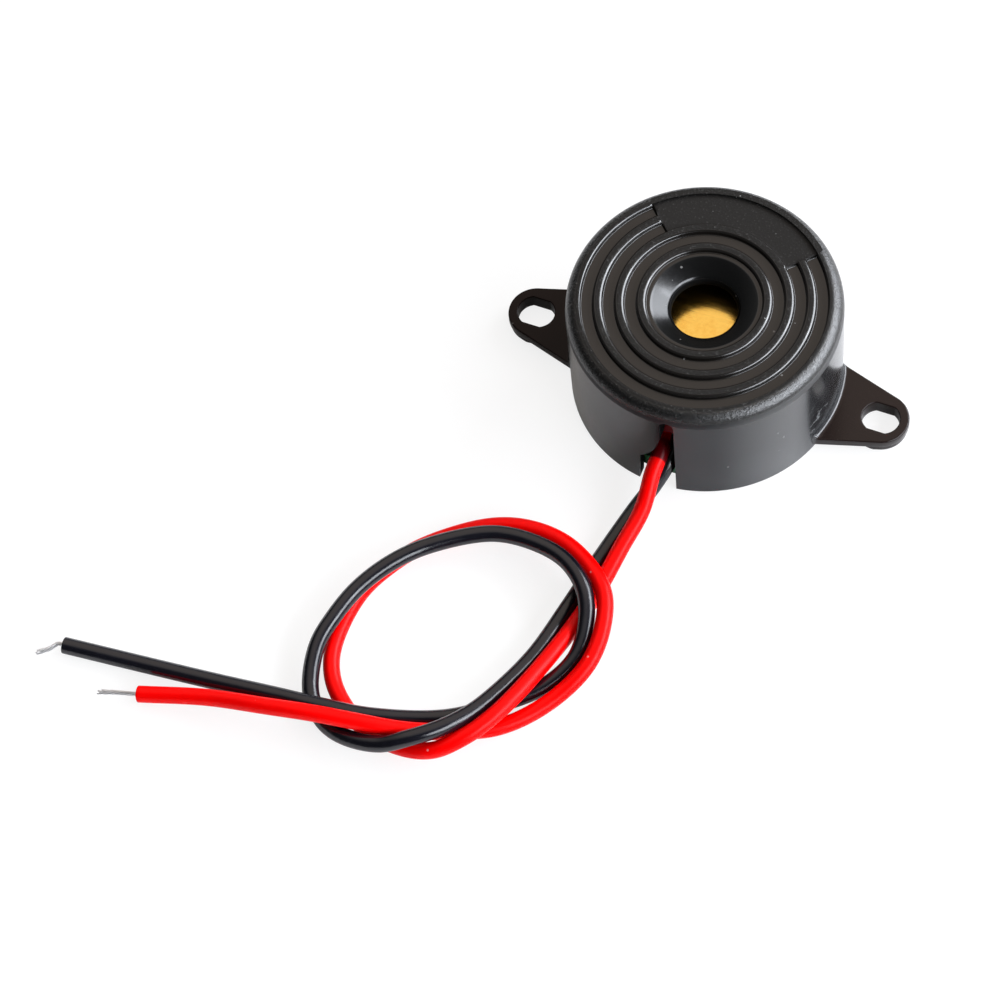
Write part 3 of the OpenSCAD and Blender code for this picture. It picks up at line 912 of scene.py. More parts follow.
@dataclass
class CaseShell:
    """Round case: wall, grooved cap with its pad, sound funnel, inside and the slot for the leads."""

    radius: float = 11.5
    height: float = 12.0
    edge: float = 1.2
    cavity_r: float = 10.2
    seat_r: float = 10.5
    seat_z: float = 2.4
    ledge_r: float = 9.0
    ledge_z: float = 8.2
    roof_z: float = 9.8
    start_r: float = 4.8
    land: float = 0.8
    groove: float = 1.0
    depth: float = 0.5
    pad_depth: float = 0.25
    pad_outer_r: float = 10.55
    pad_bearing: float = 90.0
    pad_half_angle: float = 45.0
    pad_edge: float = 0.5
    lip_r: float = 4.5
    lip_z: float = 11.6
    neck_r: float = 2.75
    neck_z: float = 10.6
    bevel_w: float = 0.2
    bevel_h: float = 0.13
    land_round: float = 0.07
    floor_round: float = 0.1
    foot_round: float = 0.15
    pad_round: float = 0.06
    pad_bevel: float = 0.1
    pad_bevel_round: float = 0.04
    lip_round: float = 0.12
    neck_round: float = 0.4
    inner_round: float = 0.1
    seat_round: float = 0.02
    edge_points: int = 4
    floor_points: int = 5
    pad_fill: tuple[float, ...] = (9.75, 9.5, 9.3, 8.7, 8.5, 8.0)
    column_step: float = 1.2
    column_room: float = 0.3
    slot_side: float = 1.5
    slot_w: float = 3.3
    slit_w: float = 1.2
    slit_top: float = 10.75
    flare_r: float = 6.5
    flare_top: float = 8.6
    notch_h: float = 4.0
    slot_below: float = 0.6
    cutter_inside: float = 0.3
    cutter_outside: float = 0.6

    def profiles(self) -> tuple[np.ndarray, np.ndarray]:
        """Half sections of the case through its grooves and through its pad.

        Both run from the outer foot up the wall, over the cap, down the funnel and back along the
        inside, with one point of one for each point of the other.

        Returns:
            Two arrays of shape (points, 2) of radius and height.
        """
        top, floor, pad = self.height, self.height - self.depth, self.height - self.pad_depth
        pitch = self.land + self.groove
        pad_inner_r = self.start_r + self.land + pitch
        edge, bottom = (self.land_round, self.edge_points), (self.floor_round, self.floor_points)

        def down(r: float) -> list[Corner]:
            """Bevelled edge from a land's top down to a lower place further in."""
            return [((r + self.bevel_w, top), *edge), ((r, top - self.bevel_h), *edge)]

        def groove(k: int) -> list[Corner]:
            """Six corners of a ring groove, from the land outside it to the land inside it.

            Args:
                k: number of the groove, counted from the innermost.

            Returns:
                The corners.
            """
            inner = self.start_r + self.land + k * pitch
            outer = inner + self.groove
            up = [((inner, top - self.bevel_h), *edge), ((inner - self.bevel_w, top), *edge)]
            return [*down(outer), ((outer, floor), *bottom), ((inner, floor), *bottom), *up]

        wall = [((self.radius, 0.0), self.foot_round, 6), ((self.radius, top), self.edge, 18)]
        fill = zip(self.pad_fill, (bottom, edge, edge, edge, edge, bottom))
        padded = [
            *down(self.pad_outer_r),
            ((self.pad_outer_r, pad), self.pad_round, self.floor_points),
            *(((r, pad), *kind) for r, kind in fill),
            ((pad_inner_r, pad), self.pad_round, self.floor_points),
            ((pad_inner_r, top - self.pad_bevel), self.pad_bevel_round, self.edge_points),
            ((pad_inner_r - self.pad_bevel, top), self.pad_bevel_round, self.edge_points),
        ]
        rest = [
            *groove(0),
            *down(self.start_r),
            ((self.start_r, self.lip_z), self.pad_round, self.edge_points),
            ((self.lip_r, self.lip_z), self.lip_round, 6),
            ((self.neck_r, self.neck_z), self.neck_round, 9),
            ((self.neck_r, self.roof_z), self.inner_round, self.edge_points),
            ((self.ledge_r, self.roof_z), self.inner_round, self.edge_points),
            ((self.ledge_r, self.ledge_z), self.inner_round, self.edge_points),
            ((self.cavity_r, self.ledge_z), self.inner_round, self.edge_points),
            ((self.cavity_r, self.seat_z), self.seat_round, 3),
            ((self.seat_r, self.seat_z), self.seat_round, 3),
            ((self.seat_r, 0.0), self.inner_round, self.edge_points),
        ]
        rings = [*groove(2), *groove(1)]
        return rounded_loop(wall + rings + rest), rounded_loop(wall + padded + rest)

    def build(self) -> Surface:
        """Case without its slot: section points turned round the axis.

        Point (row, column) is the row's radius and height at the column's angle, blended from the
        grooved section to the pad's section by a smooth step across the pad's two radial edges.

        Returns:
            The case's surface.
        """
        grooved, padded = self.profiles()
        near = np.array([-1.0, -0.6, -0.35, -0.15, 0.0, 0.15, 0.35, 0.6, 1.0]) * self.pad_edge
        edges = [self.pad_bearing + side * (self.pad_half_angle + near) for side in (-1, 1)]
        edges = np.concatenate(edges)
        even = np.arange(0.0, 360.0, self.column_step)
        even = even[np.abs(even[:, None] - edges[None, :]).min(axis=1) > self.column_room]
        angle = np.sort(np.concatenate([even, edges]))
        away = np.abs((angle - self.pad_bearing + 180.0) % 360.0 - 180.0)
        low, high = self.pad_half_angle - self.pad_edge, self.pad_half_angle + self.pad_edge
        share = 1.0 - smooth_step(low, high, away)
        section = grooved[:, None, :] + (padded - grooved)[:, None, :] * share[None, :, None]
        turn = np.radians(angle)[None, :]
        r, z = section[..., 0], section[..., 1]
        points = np.stack([r * np.cos(turn), r * np.sin(turn), z], axis=-1)
        return points.reshape(-1, 3), [grid_quads(len(grooved), len(angle), True, True)]

    def slot_outline(self) -> np.ndarray:
        """Outline of the lead slot on the wall: straight right side, round slit end, flared left side.

        Returns:
            Closed outline of shape (n, 2) of x and z, anticlockwise seen from the front.
        """
        slit_x = self.slot_side - self.slit_w
        half = self.slit_w / 2
        bend_x, bend_z = slit_x - self.flare_r, self.slit_top - half
        end = math.asin((self.flare_top - self.notch_h) / self.flare_r)
        over = np.linspace(0.0, math.pi, 17)
        down = -np.linspace(0.0, end, 21)
        foot = -self.slot_below
        right = np.stack([np.full(9, self.slot_side), np.linspace(foot, bend_z, 9)], axis=-1)[:-1]
        arch = half * np.stack([np.cos(over), np.sin(over)], axis=-1) + [slit_x + half, bend_z]
        flare = self.flare_r * np.stack([np.cos(down), np.sin(down)], axis=-1) + [bend_x, self.flare_top]
        left = np.linspace(flare[-1], [self.slot_side - self.slot_w, foot], 8)[1:]
        return np.vstack([right, arch, flare, left])

    def slot_cutter(self) -> bpy.types.Object:
        """Solid that cuts the slot: its outline laid on cylinders from inside the wall to outside it.

        Returns:
            The cutter, as an object.
        """
        outline = self.slot_outline()
        depth = np.array([self.cavity_r - self.cutter_inside, self.radius + self.cutter_outside])
        x = np.broadcast_to(outline[:, 0], (len(depth), len(outline)))
        z = np.broadcast_to(outline[:, 1], x.shape)
        points = np.stack([x, -np.sqrt(depth[:, None] ** 2 - x**2), z], axis=-1).reshape(-1, 3)
        rows, cols = x.shape
        caps = [np.arange(cols)[None, ::-1], (rows - 1) * cols + np.arange(cols)[None, :]]
        return make_piece("slot_cutter", points, [grid_quads(rows, cols, False, True), *caps])


@dataclass
class Ear:
    """Mounting ear: a tapered web with a boss under its tip and a hole with two flats."""

    side: Side
    pitch: float = 31.0
    top: float = 1.5
    web: float = 0.85
    tip_r: float = 2.4
    taper: float = 16.5
    wall_r: float = 11.5
    root_r: float = 10.95
    fillet: float = 0.4
    hole_l: float = 3.2
    hole_w: float = 2.6
    hole_end_r: float = 1.44
    edge: float = 0.16
    hole_edge: float = 0.1
    knee_room: float = 0.1
    knee_share: float = 0.8
    boss_inset: float = 0.06
    boss_room: float = 0.12
    sides: int = 288

    def hole_reach(self, bearing: np.ndarray) -> np.ndarray:
        """Distance from the hole's middle to its edge: the nearer of end arc and flat.

        Args:
            bearing: bearings in radians, 0 pointing away from the case.

        Returns:
            Distances, one for each bearing.
        """
        middle = (self.hole_l / 2 - self.hole_end_r) * np.sign(np.cos(bearing))
        arc = middle * np.cos(bearing) + np.sqrt(self.hole_end_r**2 - (middle * np.sin(bearing)) ** 2)
        return np.minimum(arc, self.hole_w / 2 / np.maximum(np.abs(np.sin(bearing)), 1e-6))

    def rim_reach(self, bearing: np.ndarray) -> np.ndarray:
        """Distance from the hole's middle to the ear's edge.

        The tip is a circle, each side is a line tangent to it, and towards the case the ear ends
        on a cylinder inside the wall.

        Args:
            bearing: bearings in radians, 0 pointing away from the case.

        Returns:
            Distances, one for each bearing.
        """
        taper, half = math.radians(self.taper), self.pitch / 2
        lean = math.sin(taper) * np.cos(bearing) + math.cos(taper) * np.abs(np.sin(bearing))
        line = self.tip_r / np.maximum(lean, 1e-3)
        rim = np.where(np.cos(bearing) >= math.sin(taper), self.tip_r, np.maximum(line, self.tip_r))
        along = half * np.cos(bearing)
        square = along**2 - half**2 + self.root_r**2
        wall = -along - np.sqrt(np.maximum(square, 0.0))
        return np.where((square > 0) & (along < 0), np.minimum(rim, wall), rim)

    def lift(self, x: np.ndarray, y: np.ndarray) -> np.ndarray:
        """Rise of the top face near the wall: a quarter circle of the fillet's radius."""
        off = np.clip(np.hypot(x, y) - self.wall_r, 0.0, self.fillet)
        return self.fillet - np.sqrt(np.maximum(self.fillet**2 - (self.fillet - off) ** 2, 0.0))

    def build(self) -> Surface:
        """Ear as a ring-shaped grid: bearing round the hole by place along the ear's section.

        The section goes up the hole's wall, over the top face to the rim, down the side, back under
        the web, down the boss and in to the hole again. Reach is measured from the hole's middle.

        Returns:
            The ear's surface.
        """
        bearing = np.linspace(0.0, 2 * math.pi, self.sides, endpoint=False)
        hole, rim = self.hole_reach(bearing), self.rim_reach(bearing)
        arc = np.linspace(0.0, math.pi / 2, 5)
        small, edge = self.hole_edge, self.edge
        under = self.top - self.web
        # Beyond the knee the rows of the top face lie closer, for the fillet at the wall
        clear = self.pitch / 2 - self.wall_r - self.fillet - self.knee_room
        inward = -np.cos(bearing)
        near_wall = np.where(inward > 0, clear / np.maximum(inward, 0.3), np.inf)
        knee = np.minimum(near_wall, hole + self.knee_share * (rim - hole))
        boss = np.minimum(self.tip_r - self.boss_inset, rim - self.boss_room)
        reach: list[np.ndarray] = []
        level: list[np.ndarray] = []

        def add(out: np.ndarray, height: float) -> None:
            """Adds one row of the section."""
            reach.append(out)
            level.append(np.full_like(out, height))

        for height in np.linspace(small, self.top - small, 4):
            add(hole, height)
        for turn in arc[1:]:
            add(hole + small * (1 - np.cos(turn)), self.top - small + small * np.sin(turn))
        for share in np.linspace(0.0, 1.0, 5)[1:]:
            add(hole + small + (knee - hole - small) * share, self.top)
        for share in np.linspace(0.0, 1.0, 15)[1:]:
            add(knee + (rim - edge - knee) * share, self.top)
        for turn in arc[1:]:
            add(rim - edge + edge * np.sin(turn), self.top - edge + edge * np.cos(turn))
        tops = len(reach)
        for height in np.linspace(self.top - edge, under + small, 3)[1:]:
            add(rim, height)
        for turn in arc[1:]:
            add(rim - small * (1 - np.cos(turn)), under + small - small * np.sin(turn))
        for height in np.linspace(under, small, 3):
            add(boss, height)
        for turn in arc[1:]:
            add(boss - small * (1 - np.cos(turn)), small - small * np.sin(turn))
        add((boss + hole) / 2, 0.0)
        for turn in arc[:-1]:
            add(hole + small * (1 - np.sin(turn)), small - small * np.cos(turn))
        out, z = np.stack(reach), np.stack(level)
        x = self.pitch / 2 + out * np.cos(bearing)
        y = out * np.sin(bearing)
        z = z + np.where(np.arange(len(out))[:, None] < tops, self.lift(x, y), 0.0)
        points = np.stack([x * self.side.value, y * self.side.value, z], axis=-1)
        quads = grid_quads(len(out), self.sides, True, True)
        return points.reshape(-1, 3), [quads[:, ::-1]]


@dataclass
class Housing:
    """The one-piece moulding: case with slot and its two ears."""

    shell: CaseShell = field(default_factory=CaseShell)
    ears: tuple[Ear, Ear] = field(default_factory=lambda: (Ear(Side.RIGHT), Ear(Side.LEFT)))
    finish: CasePlastic = field(default_factory=CasePlastic)
    crease: float = 38.0

    def build(self) -> bpy.types.Object:
        """Makes the case, cuts its slot and adds the ears.

        Returns:
            The housing, as one object.
        """
        case = make_piece("case", *self.shell.build())
        cutter = self.shell.slot_cutter()
        cut = case.modifiers.new("slot", "BOOLEAN")
        cut.operation = "DIFFERENCE"
        cut.solver = "EXACT"
        cut.object = cutter
        bpy.context.view_layer.update()
        opened = bpy.data.meshes.new_from_object(case.evaluated_get(bpy.context.evaluated_depsgraph_get()))
        case.modifiers.clear()
        case.data = opened
        bpy.data.objects.remove(cutter)
        ears = make_piece("ears", *pack_parts([ear.build() for ear in self.ears]))
        with bpy.context.temp_override(active_object=case, selected_editable_objects=[case, ears]):
            bpy.ops.object.join()
        case.name = "housing_moulding"
        case.data.set_sharp_from_angle(angle=math.radians(self.crease))
        return case

    def dress(self, piece: bpy.types.Object) -> None:
        """Gives the housing its plastic, its body and its CAD node.

        Args:
            piece: the housing.
        """
        dress(piece, self.finish.material())
        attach(piece, ROOT)
        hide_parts("housing")


# The leads


@dataclass
class StrandTip:
    """Bare end of a lead: tinned strands laid round each other, opening a little at the end."""

    name: str
    node: str
    route: Sequence[Sequence[float]]
    turns: float
    strands: int = 6
    strand_d: float = 0.135
    lay_r: float = 0.12
    splay: float = 0.5
    short_step: float = 0.05
    sides: int = 10
    steps: int = 48

    def build(self) -> bpy.types.Object:
        """Sweeps each strand along a helix round the tip's centre line.

        Strand k at share s of the tip lies at the bearing k / strands + turns * s of a full turn, at
        the lay radius times 1 + splay * s^3, and ends from none to three short steps early.

        Returns:
            The strands, as one object.
        """
        curve = even_steps(catmull_rom(self.route, per_span=24), step=0.02)
        return make_piece(self.name, *pack_parts([self.strand(curve, k) for k in range(self.strands + 1)]))

    def strand(self, curve: np.ndarray, k: int) -> Surface:
        """One strand of the tip; the last one is the core.

        Args:
            curve: the tip's centre line.
            k: number of the strand.

        Returns:
            The strand's surface.
        """
        whole = np.linspace(0.0, 1.0 - self.short_step * ((k * 7) % 4), self.steps)
        place = np.linspace(0.0, 1.0, len(curve))
        line = np.stack([np.interp(whole, place, curve[:, axis]) for axis in range(3)], axis=-1)
        _, side, up = moving_frame(line)
        bearing = 2 * math.pi * (k / self.strands + self.turns * whole)[:, None]
        out = (0.0 if k == self.strands else self.lay_r) * (1.0 + self.splay * whole**3)[:, None]
        line = line + out * (np.cos(bearing) * side + np.sin(bearing) * up)
        _, side, up = moving_frame(line)
        return sweep(line, side, up, np.full(len(line), self.strand_d / 2), self.sides)

    def dress(self, piece: bpy.types.Object, finish: bpy.types.Material) -> None:
        """Gives the tip its metal, its body and its CAD node.

        Args:
            piece: the tip.
            finish: material of its metal.
        """
        dress(piece, finish)
        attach(piece, ROOT)
        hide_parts(self.node)


@dataclass
class Lead:
    """One free lead: insulation from the board out to its cut end."""

    name: str
    node: str
    slot: Slot
    route: Sequence[Sequence[float]]
    length: float
    finish: Insulation
    tip: StrandTip
    diameter: float = 1.4
    bore: float = 0.52
    bore_taper: float = 0.01
    cut_round: float = 0.06
    recess: float = 0.12
    sides: int = 32
    step: float = 0.25
    uv_rings: float = 20.0

    def build(self) -> tuple[bpy.types.Object, np.ndarray]:
        """Sweeps the insulation along its route, with a softly cut end round the bore.

        The rings follow the smooth curve at equal steps. At the far end extra rings round the cut's
        edge, cross its flat face and go back into the bore.

        Returns:
            The lead and its centre line in millimetres.
        """
        line = even_steps(catmull_rom(self.route, per_span=20), self.step)
        tangent, side, up = moving_frame(line)
        outer, inner, edge = self.diameter / 2, self.bore / 2, self.cut_round
        arc = np.linspace(0.0, math.pi / 2, 5)
        end_r = np.r_[outer - edge + edge * np.cos(arc), inner, inner - self.bore_taper]
        end_at = np.r_[edge * np.sin(arc) - edge, 0.0, -self.recess]
        centres = np.vstack([line[:-1], line[-1] + end_at[:, None] * tangent[-1]])
        sides = np.vstack([side[:-1], np.repeat(side[-1:], len(end_r), axis=0)])
        ups = np.vstack([up[:-1], np.repeat(up[-1:], len(end_r), axis=0)])
        radius = np.r_[np.full(len(line) - 1, outer), end_r]
        piece = make_piece(self.name, *sweep(centres, sides, ups, radius, self.sides))
        self.map_along(piece, len(centres))
        return piece, line

    def map_along(self, piece: bpy.types.Object, rings: int) -> None:
        """Writes a UV map: U along the lead in steps of its rings, V round it.

        Args:
            piece: the lead.
            rings: number of rings.
        """
        corner = np.zeros(len(piece.data.loops), dtype=np.int32)
        piece.data.loops.foreach_get("vertex_index", corner)
        along = np.minimum(corner // self.sides, rings) / self.uv_rings
        around = np.abs((corner % self.sides) / self.sides - 0.5) * 2.0
        layer = piece.data.uv_layers.new(name=UV_NAME)
        layer.data.foreach_set("uv", np.stack([along, around], axis=-1).astype(np.float32).ravel())

    def dress(self, piece: bpy.types.Object, line: np.ndarray, tip: bpy.types.Object) -> None:
        """Args:
            piece: the lead.
            line: its centre line in millimetres; not used.
            tip: its bare end; not used.
        """
        dress(piece, self.finish.material())
        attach(piece, ROOT)
        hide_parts(self.node)


RED_ROUTE = (
    (-2.2, -1.8, 2.4), (-2.2, -1.8, 2.8), (-2.1, -2.6, 5.1), (-1.7, -4.1, 6.2), (-1.1, -6.5, 6.3),
    (-0.5, -8.6, 5.5), (0.0, -10.4, 4.6), (-0.1, -12.4, 3.7), (0.0, -15.3, 2.3), (-0.5, -18.9, 1.7),
    (-0.9, -22.3, 1.3), (-1.5, -26.2, 1.4), (-2.4, -30.5, 2.0), (-3.5, -34.7, 2.7), (-4.5, -37.4, 3.0),
    (-6.0, -39.7, 2.8), (-8.0, -41.3, 2.1), (-10.4, -41.7, 1.4), (-14.0, -41.1, 0.8), (-16.7, -39.6, 0.8),
    (-18.6, -37.6, 0.8), (-19.6, -35.0, 0.8), (-19.5, -30.0, 0.8), (-18.2, -26.7, 0.8), (-16.0, -23.8, 1.0),
    (-11.5, -20.5, 1.3), (-8.0, -19.8, 1.8), (-4.2, -20.6, 2.4), (-0.3, -23.5, 2.9), (0.9, -26.5, 2.8),
    (0.9, -30.1, 2.3), (-1.0, -33.8, 1.3), (-4.0, -37.2, 1.2), (-7.8, -39.3, 1.7), (-11.1, -40.7, 2.5),
    (-14.6, -41.6, 3.3), (-18.1, -42.2, 3.5), (-22.2, -42.7, 2.9), (-27.3, -43.2, 1.8), (-33.0, -44.5, 0.9),
)
BLACK_ROUTE = (
    (2.2, -1.2, 2.4), (2.2, -1.2, 2.8), (2.1, -1.9, 4.5), (1.8, -3.7, 5.7), (1.4, -6.2, 5.5),
    (0.9, -9.0, 3.9), (0.6, -10.8, 3.0), (0.0, -12.6, 1.9), (-0.9, -15.1, 1.0), (-2.0, -20.3, 0.8),
    (-2.8, -25.2, 0.9), (-3.7, -30.4, 1.4), (-5.1, -34.8, 2.2), (-6.3, -37.5, 2.8), (-7.9, -39.8, 3.4),
    (-10.0, -41.6, 3.5), (-12.3, -42.6, 2.7), (-15.7, -42.5, 1.7), (-18.0, -41.4, 1.0), (-19.7, -39.5, 1.2),
    (-20.6, -35.9, 1.9), (-20.2, -33.0, 2.3), (-19.3, -29.9, 2.4), (-17.5, -26.8, 2.5), (-15.2, -24.3, 2.4),
    (-10.8, -21.6, 2.4), (-7.0, -21.4, 2.8), (-3.8, -22.4, 3.3), (-1.6, -24.3, 3.2), (-0.5, -26.8, 2.5),
    (-0.4, -29.6, 1.7), (-1.9, -32.4, 1.0), (-5.0, -35.3, 0.8), (-8.5, -38.0, 1.2), (-14.0, -40.3, 2.2),
    (-17.8, -41.0, 2.6), (-22.0, -41.2, 2.1), (-27.5, -41.5, 1.4), (-33.8, -41.9, 0.9), (-40.7, -42.5, 0.8),
)
RED_TIP = ((-32.9, -44.48, 0.92), (-33.5, -44.61, 0.82), (-34.6, -44.8, 0.6), (-36.4, -45.3, 0.5))
BLACK_TIP = ((-40.6, -42.49, 0.8), (-41.2, -42.54, 0.79), (-41.7, -43.1, 0.65), (-42.7, -43.8, 0.5))


# The pieces that stay as they are in the frame


@dataclass
class Insides:
    """Sounder, board and components: nodes of the frame, each with its own finish."""

    plain: dict[str, Slot] = field(
        default_factory=lambda: {
            "sounder_plate": Slot.BRASS,
            "ceramic_disc": Slot.CERAMIC,
            "adhesive_ring": Slot.SILICONE,
            "circuit_board": Slot.BOARD,
            "choke_core": Slot.FERRITE,
            "choke_winding": Slot.COPPER,
            "choke_pins": Slot.TINNED,
            "transistor_body": Slot.EPOXY,
            "transistor_legs": Slot.TINNED,
            "resistor_bodies": Slot.EPOXY,
            "resistor_ends": Slot.TINNED,
            "plate_link": Slot.WIRE_BLACK,
            "electrode_link": Slot.WIRE_RED,
            "feedback_link": Slot.WIRE_YELLOW,
            "sounder_solder": Slot.SOLDER,
            "board_solder": Slot.SOLDER,
            "lead_tails": Slot.TINNED,
        }
    )

    def finishes(self) -> dict[Slot, bpy.types.Material]:
        """Builds the finish of each slot.

        Returns:
            Material of each slot.
        """
        rolled, wound = (300.0, 3000.0, 300.0), (400.0, 400.0, 9000.0)
        made = (
            (Slot.BRASS, BareMetal("rolled_brass", (0.95, 0.62, 0.14), (0.9, 0.53, 0.1), 0.16, rolled)),
            (Slot.CERAMIC, Moulded("silvered_ceramic", (0.86, 0.84, 0.78), (0.74, 0.72, 0.66), 0.45)),
            # The bead's red is its own colour; its darkness is painted shade, so the slit above the lead
            # looks shaded
            (Slot.SILICONE, Moulded("silicone_bead", (0.09, 0.002, 0.004), PAINTED_SHADE_RED, 0.5, gloss=0.1)),
            (Slot.BOARD, Moulded("solder_mask", (0.02, 0.16, 0.05), (0.012, 0.1, 0.03), 0.3, 900.0)),
            (Slot.FERRITE, Moulded("ferrite", (0.045, 0.045, 0.05), (0.025, 0.025, 0.028), 0.6)),
            (Slot.COPPER, BareMetal("enamelled_copper", (0.62, 0.24, 0.09), (0.5, 0.17, 0.06), 0.3, wound)),
            (Slot.TINNED, BareMetal("tinned_metal", (0.82, 0.82, 0.83), (0.68, 0.68, 0.7), 0.34)),
            (Slot.SOLDER, BareMetal("solder", (0.78, 0.78, 0.8), (0.66, 0.66, 0.68), 0.26)),
            (Slot.EPOXY, Moulded("moulded_epoxy", (0.03, 0.03, 0.033), (0.018, 0.018, 0.02), 0.5)),
            (Slot.WIRE_BLACK, Moulded("thin_wire_black", (0.03, 0.03, 0.033), (0.018, 0.018, 0.02), 0.4)),
            (Slot.WIRE_RED, Moulded("thin_wire_red", (0.6, 0.02, 0.015), (0.45, 0.012, 0.01), 0.4)),
            (Slot.WIRE_YELLOW, Moulded("thin_wire_yellow", (0.75, 0.58, 0.06), (0.62, 0.45, 0.04), 0.4)),
        )
        return {slot: finish.material() for slot, finish in made}

    def dress(self, finishes: dict[Slot, bpy.types.Material]) -> None:
        """Puts each node's finish in its material slots.

        Args:
            finishes: material of each slot.
        """
        for node, slot in self.plain.items():
            dress(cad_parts[node], finishes[slot])
            LOG.info("node %s finished as %s", node, slot.value)


# Floor, light and camera


@dataclass
class Studio:
    """White table, soft light from the right and the photograph's camera."""

    floor_r: float = 2500.0
    floor_z: float = -0.03
    floor_sides: int = 96
    floor_tones: tuple[Colour, Colour] = ((0.88, 0.88, 0.88), (0.92, 0.92, 0.92))
    floor_roughness: float = 0.9
    floor_gloss: float = 0.1
    floor_grain: float = 6.0
    floor_white: float = 1.06
    azimuth: float = 22.27
    elevation: float = 59.21
    roll: float = -2.24
    distance: float = 317.6
    aim_z: float = 6.0
    offset: tuple[float, float] = (211.8, -155.2)
    focal_px: float = 3797.0
    frame_px: float = 1000.0
    sensor: float = 36.0
    clip: Band = (0.01, 20.0)
    seen_glow: float = 0.78
    mirror_glow: float = 0.12
    dim_tint: Colour = (0.9, 0.96, 1.0)
    glow_tint: Colour = (1.0, 0.88, 0.79)
    dim_level: float = 0.06
    glow_level: float = 1.05
    glow_edge: float = 54.0
    glow_core: float = 20.0
    key_tint: Colour = (0.93, 0.97, 1.04)
    key_radiance: float = 7.5
    key_height: float = 29.0
    key_bearings: tuple[float, ...] = (-42.0, -6.0, 30.0)
    key_box: tuple[float, float] = (430.0, 330.0)
    key_distance: float = 700.0
    key_aim: tuple[float, float, float] = (-8.0, -15.0, 3.0)

    def eye_axes(self) -> tuple[np.ndarray, np.ndarray, np.ndarray]:
        """Right, up and back of a level eye at the photograph's azimuth and elevation.

        Returns:
            Three unit vectors.
        """
        turn, rise = math.radians(self.azimuth), math.radians(self.elevation)
        level = math.cos(rise)
        back = np.array([math.sin(turn) * level, -math.cos(turn) * level, math.sin(rise)])
        right = np.array([math.cos(turn), math.sin(turn), 0.0])
        return right, np.cross(back, right), back

    def add_camera(self) -> None:
        """Places the camera: the level eye turned by the picture offset's pitch and yaw, then rolled."""
        right, up, back = self.eye_axes()
        aside, above = self.offset
        pitch = Matrix.Rotation(-math.atan2(above, math.hypot(self.focal_px, aside)), 3, "X")
        yaw = Matrix.Rotation(math.atan2(aside, self.focal_px), 3, "Y")
        roll = Matrix.Rotation(math.radians(self.roll), 3, "Z")
        rows = np.array(roll @ yaw @ pitch) @ np.stack([right, -up, -back])
        place = (np.array([0.0, 0.0, self.aim_z]) + back * self.distance) * MM
        matrix = Matrix.Identity(4)
        for k, axis in enumerate((rows[0], -rows[1], -rows[2])):
            matrix.col[k] = Vector((*axis, 0.0))
        matrix.col[3] = Vector((*place, 1.0))
        data = bpy.data.cameras.new("camera")
        data.sensor_fit = "HORIZONTAL"
        data.sensor_width = self.sensor
        data.lens = self.focal_px / self.frame_px * self.sensor
        data.clip_start, data.clip_end = self.clip
        camera = bpy.data.objects.new("camera", data)
        camera.matrix_world = matrix
        bpy.context.scene.collection.objects.link(camera)
        bpy.context.scene.camera = camera

    def add_floor(self) -> bpy.types.Object:
        """Round white floor just under the base, as rings of growing radius.

        Returns:
            The floor.
        """
        radius = np.r_[np.linspace(20.0, 200.0, 10), np.linspace(300.0, self.floor_r, 8)]
        turn = 2 * math.pi * np.arange(self.floor_sides) / self.floor_sides
        x = radius[:, None] * np.cos(turn)
        y = radius[:, None] * np.sin(turn)
        points = np.stack([x, y, np.full_like(x, self.floor_z)], axis=-1).reshape(-1, 3)
        points = np.vstack([points, [[0.0, 0.0, self.floor_z]]])
        quads = grid_quads(len(radius), self.floor_sides, False, True)[:, ::-1]
        floor = make_piece("floor", points, [quads, fan(0, self.floor_sides, len(points) - 1, True)])
        dress(floor, self.floor_material())
        return floor

    def floor_material(self) -> bpy.types.Material:
        """Matt white that the eye and mirrors see nearly lit through, so it stays white and keeps a shadow.

        Returns:
            The material.
        """
        material, net, shader, place = new_material("white_table")
        tone = net.blend(net.noise(place, self.floor_grain), *self.floor_tones)
        net.feed(shader.inputs["Base Color"], tone)
        shader.inputs["Roughness"].default_value = self.floor_roughness
        shader.inputs["Specular IOR Level"].default_value = self.floor_gloss
        path = net.node("ShaderNodeLightPath").outputs
        glow = net.output("ShaderNodeEmission", {"Strength": self.floor_white})
        seen = net.times(path["Is Camera Ray"], self.seen_glow)
        reflected = net.either(path["Is Glossy Ray"], path["Is Transmission Ray"])
        share = net.either(seen, net.times(reflected, self.mirror_glow))
        mix = net.output("ShaderNodeMixShader", {0: share, 1: shader.outputs[0], 2: glow})
        out = next(n for n in material.node_tree.nodes if n.type == "OUTPUT_MATERIAL")
        net.feed(out.inputs["Surface"], mix)
        return material

    def add_world(self) -> None:
        """Dim cool surround with a warm glow high behind the object; the eye itself sees plain white."""
        world = bpy.data.worlds.new("surround")
        bpy.context.scene.world = world
        world.use_nodes = True
        net = Wiring(world.node_tree)
        _, _, back = self.eye_axes()
        toward = net.node("ShaderNodeTexCoord").outputs["Generated"]
        ends = {0: toward, 1: (-back[0], -back[1], back[2])}
        along = net.output("ShaderNodeVectorMath", ends, pick="Value", operation="DOT_PRODUCT")
        edge, core = (math.cos(math.radians(angle)) for angle in (self.glow_edge, self.glow_core))
        glow = net.step(along, edge, core)
        strength = net.between(glow, self.dim_level, self.glow_level)
        tint = net.blend(glow, self.dim_tint, self.glow_tint)
        seen = net.node("ShaderNodeLightPath").outputs["Is Camera Ray"]
        shade = next(n for n in world.node_tree.nodes if n.type == "BACKGROUND")
        net.feed(shade.inputs["Color"], net.blend(seen, tint, (1.0, 1.0, 1.0)))
        net.feed(shade.inputs["Strength"], net.mix_values(seen, strength, 1.0))

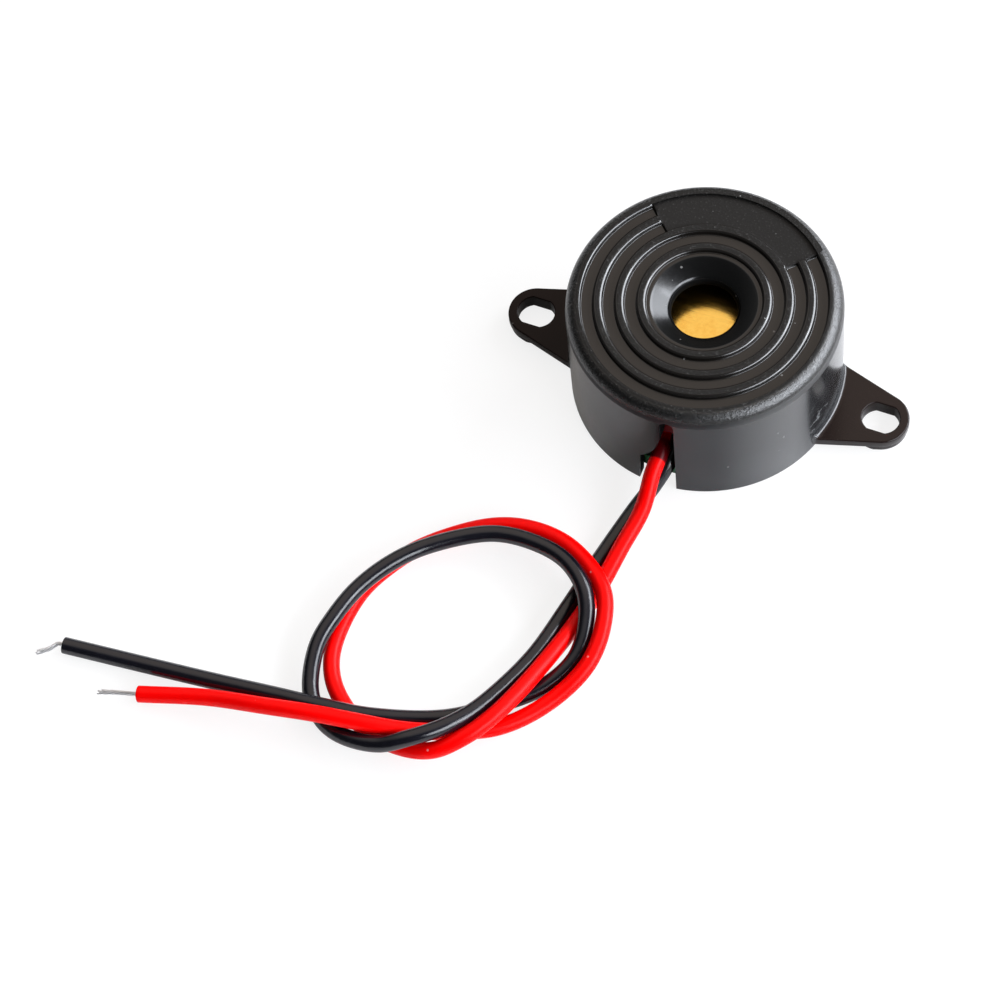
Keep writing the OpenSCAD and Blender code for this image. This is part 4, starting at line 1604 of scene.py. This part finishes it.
    def add_lamp(self, name: str, bearing: float) -> None:
        """Adds one soft box of the key light, aimed at the object.

        Args:
            name: name of the lamp.
            bearing: degrees from the eye's right, anticlockwise from above.
        """
        data = bpy.data.lights.new(name, "AREA")
        data.shape = "RECTANGLE"
        data.size, data.size_y = (side * MM for side in self.key_box)
        # The radiance of an area lamp is its energy over four times its area
        data.energy = 4.0 * self.key_radiance * data.size * data.size_y
        data.color = self.key_tint
        turn, rise = math.radians(self.azimuth + bearing), math.radians(self.key_height)
        level = math.cos(rise)
        toward = Vector((math.cos(turn) * level, math.sin(turn) * level, math.sin(rise)))
        lamp = bpy.data.objects.new(name, data)
        lamp.location = Vector(self.key_aim) * MM + toward * self.key_distance * MM
        lamp.rotation_mode = "QUATERNION"
        lamp.rotation_quaternion = toward.to_track_quat("Z", "Y")
        bpy.context.scene.collection.objects.link(lamp)

    def build(self) -> None:
        """Sets the plain view, and adds camera, floor, surround and lamps."""
        bpy.context.scene.view_settings.view_transform = "Standard"
        self.add_camera()
        self.add_floor()
        self.add_world()
        for k, bearing in enumerate(self.key_bearings):
            self.add_lamp(f"key_{k}", bearing)


# The whole


def corners(box: tuple[Vector, Vector]) -> list[list[float]]:
    """A box's two corners as plain lists."""
    return [list(box[0]), list(box[1])]


def main() -> None:
    """Builds the studio, the leads, the housing and the insides."""
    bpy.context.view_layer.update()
    Studio().build()
    insides = Insides()
    finishes = insides.finishes()
    # The third colour of each insulation is the painted shade of its stretch just behind the wall
    leads = (
        Lead(
            "red_wire", "red_lead", Slot.LEAD_RED, RED_ROUTE, 137.2,
            Insulation("red_insulation", (0.98, 0.0, 0.0), (0.92, 0.0, 0.0), PAINTED_SHADE_RED, 0.32, 0.12),
            StrandTip("red_strands", "red_lead_tip", RED_TIP, 0.9),
        ),
        Lead(
            "black_wire", "black_lead", Slot.LEAD_BLACK, BLACK_ROUTE, 141.0,
            Insulation("black_insulation", (0.005, 0.0046, 0.0085), SOFT_BLACK, PAINTED_SHADE_BLACK, 0.19, 0.52),
            StrandTip("black_strands", "black_lead_tip", BLACK_TIP, 0.7),
        ),
    )
    for lead in leads:
        tip = lead.tip.build()
        lead.tip.dress(tip, finishes[Slot.TINNED])
        LOG.info("tip %s: %d faces", tip.name, len(tip.data.polygons))
        piece, line = lead.build()
        lead.dress(piece, line, tip)
        LOG.info("lead %s: %.1f mm", piece.name, np.linalg.norm(np.diff(line, axis=0), axis=1).sum())
    housing = Housing()
    moulding = housing.build()
    housing.dress(moulding)
    LOG.info("housing: %d faces", len(moulding.data.polygons))
    insides.dress(finishes)


if __name__ == "__main__":
    logging.basicConfig(level=logging.INFO, format="%(name)s: %(message)s")
    main()
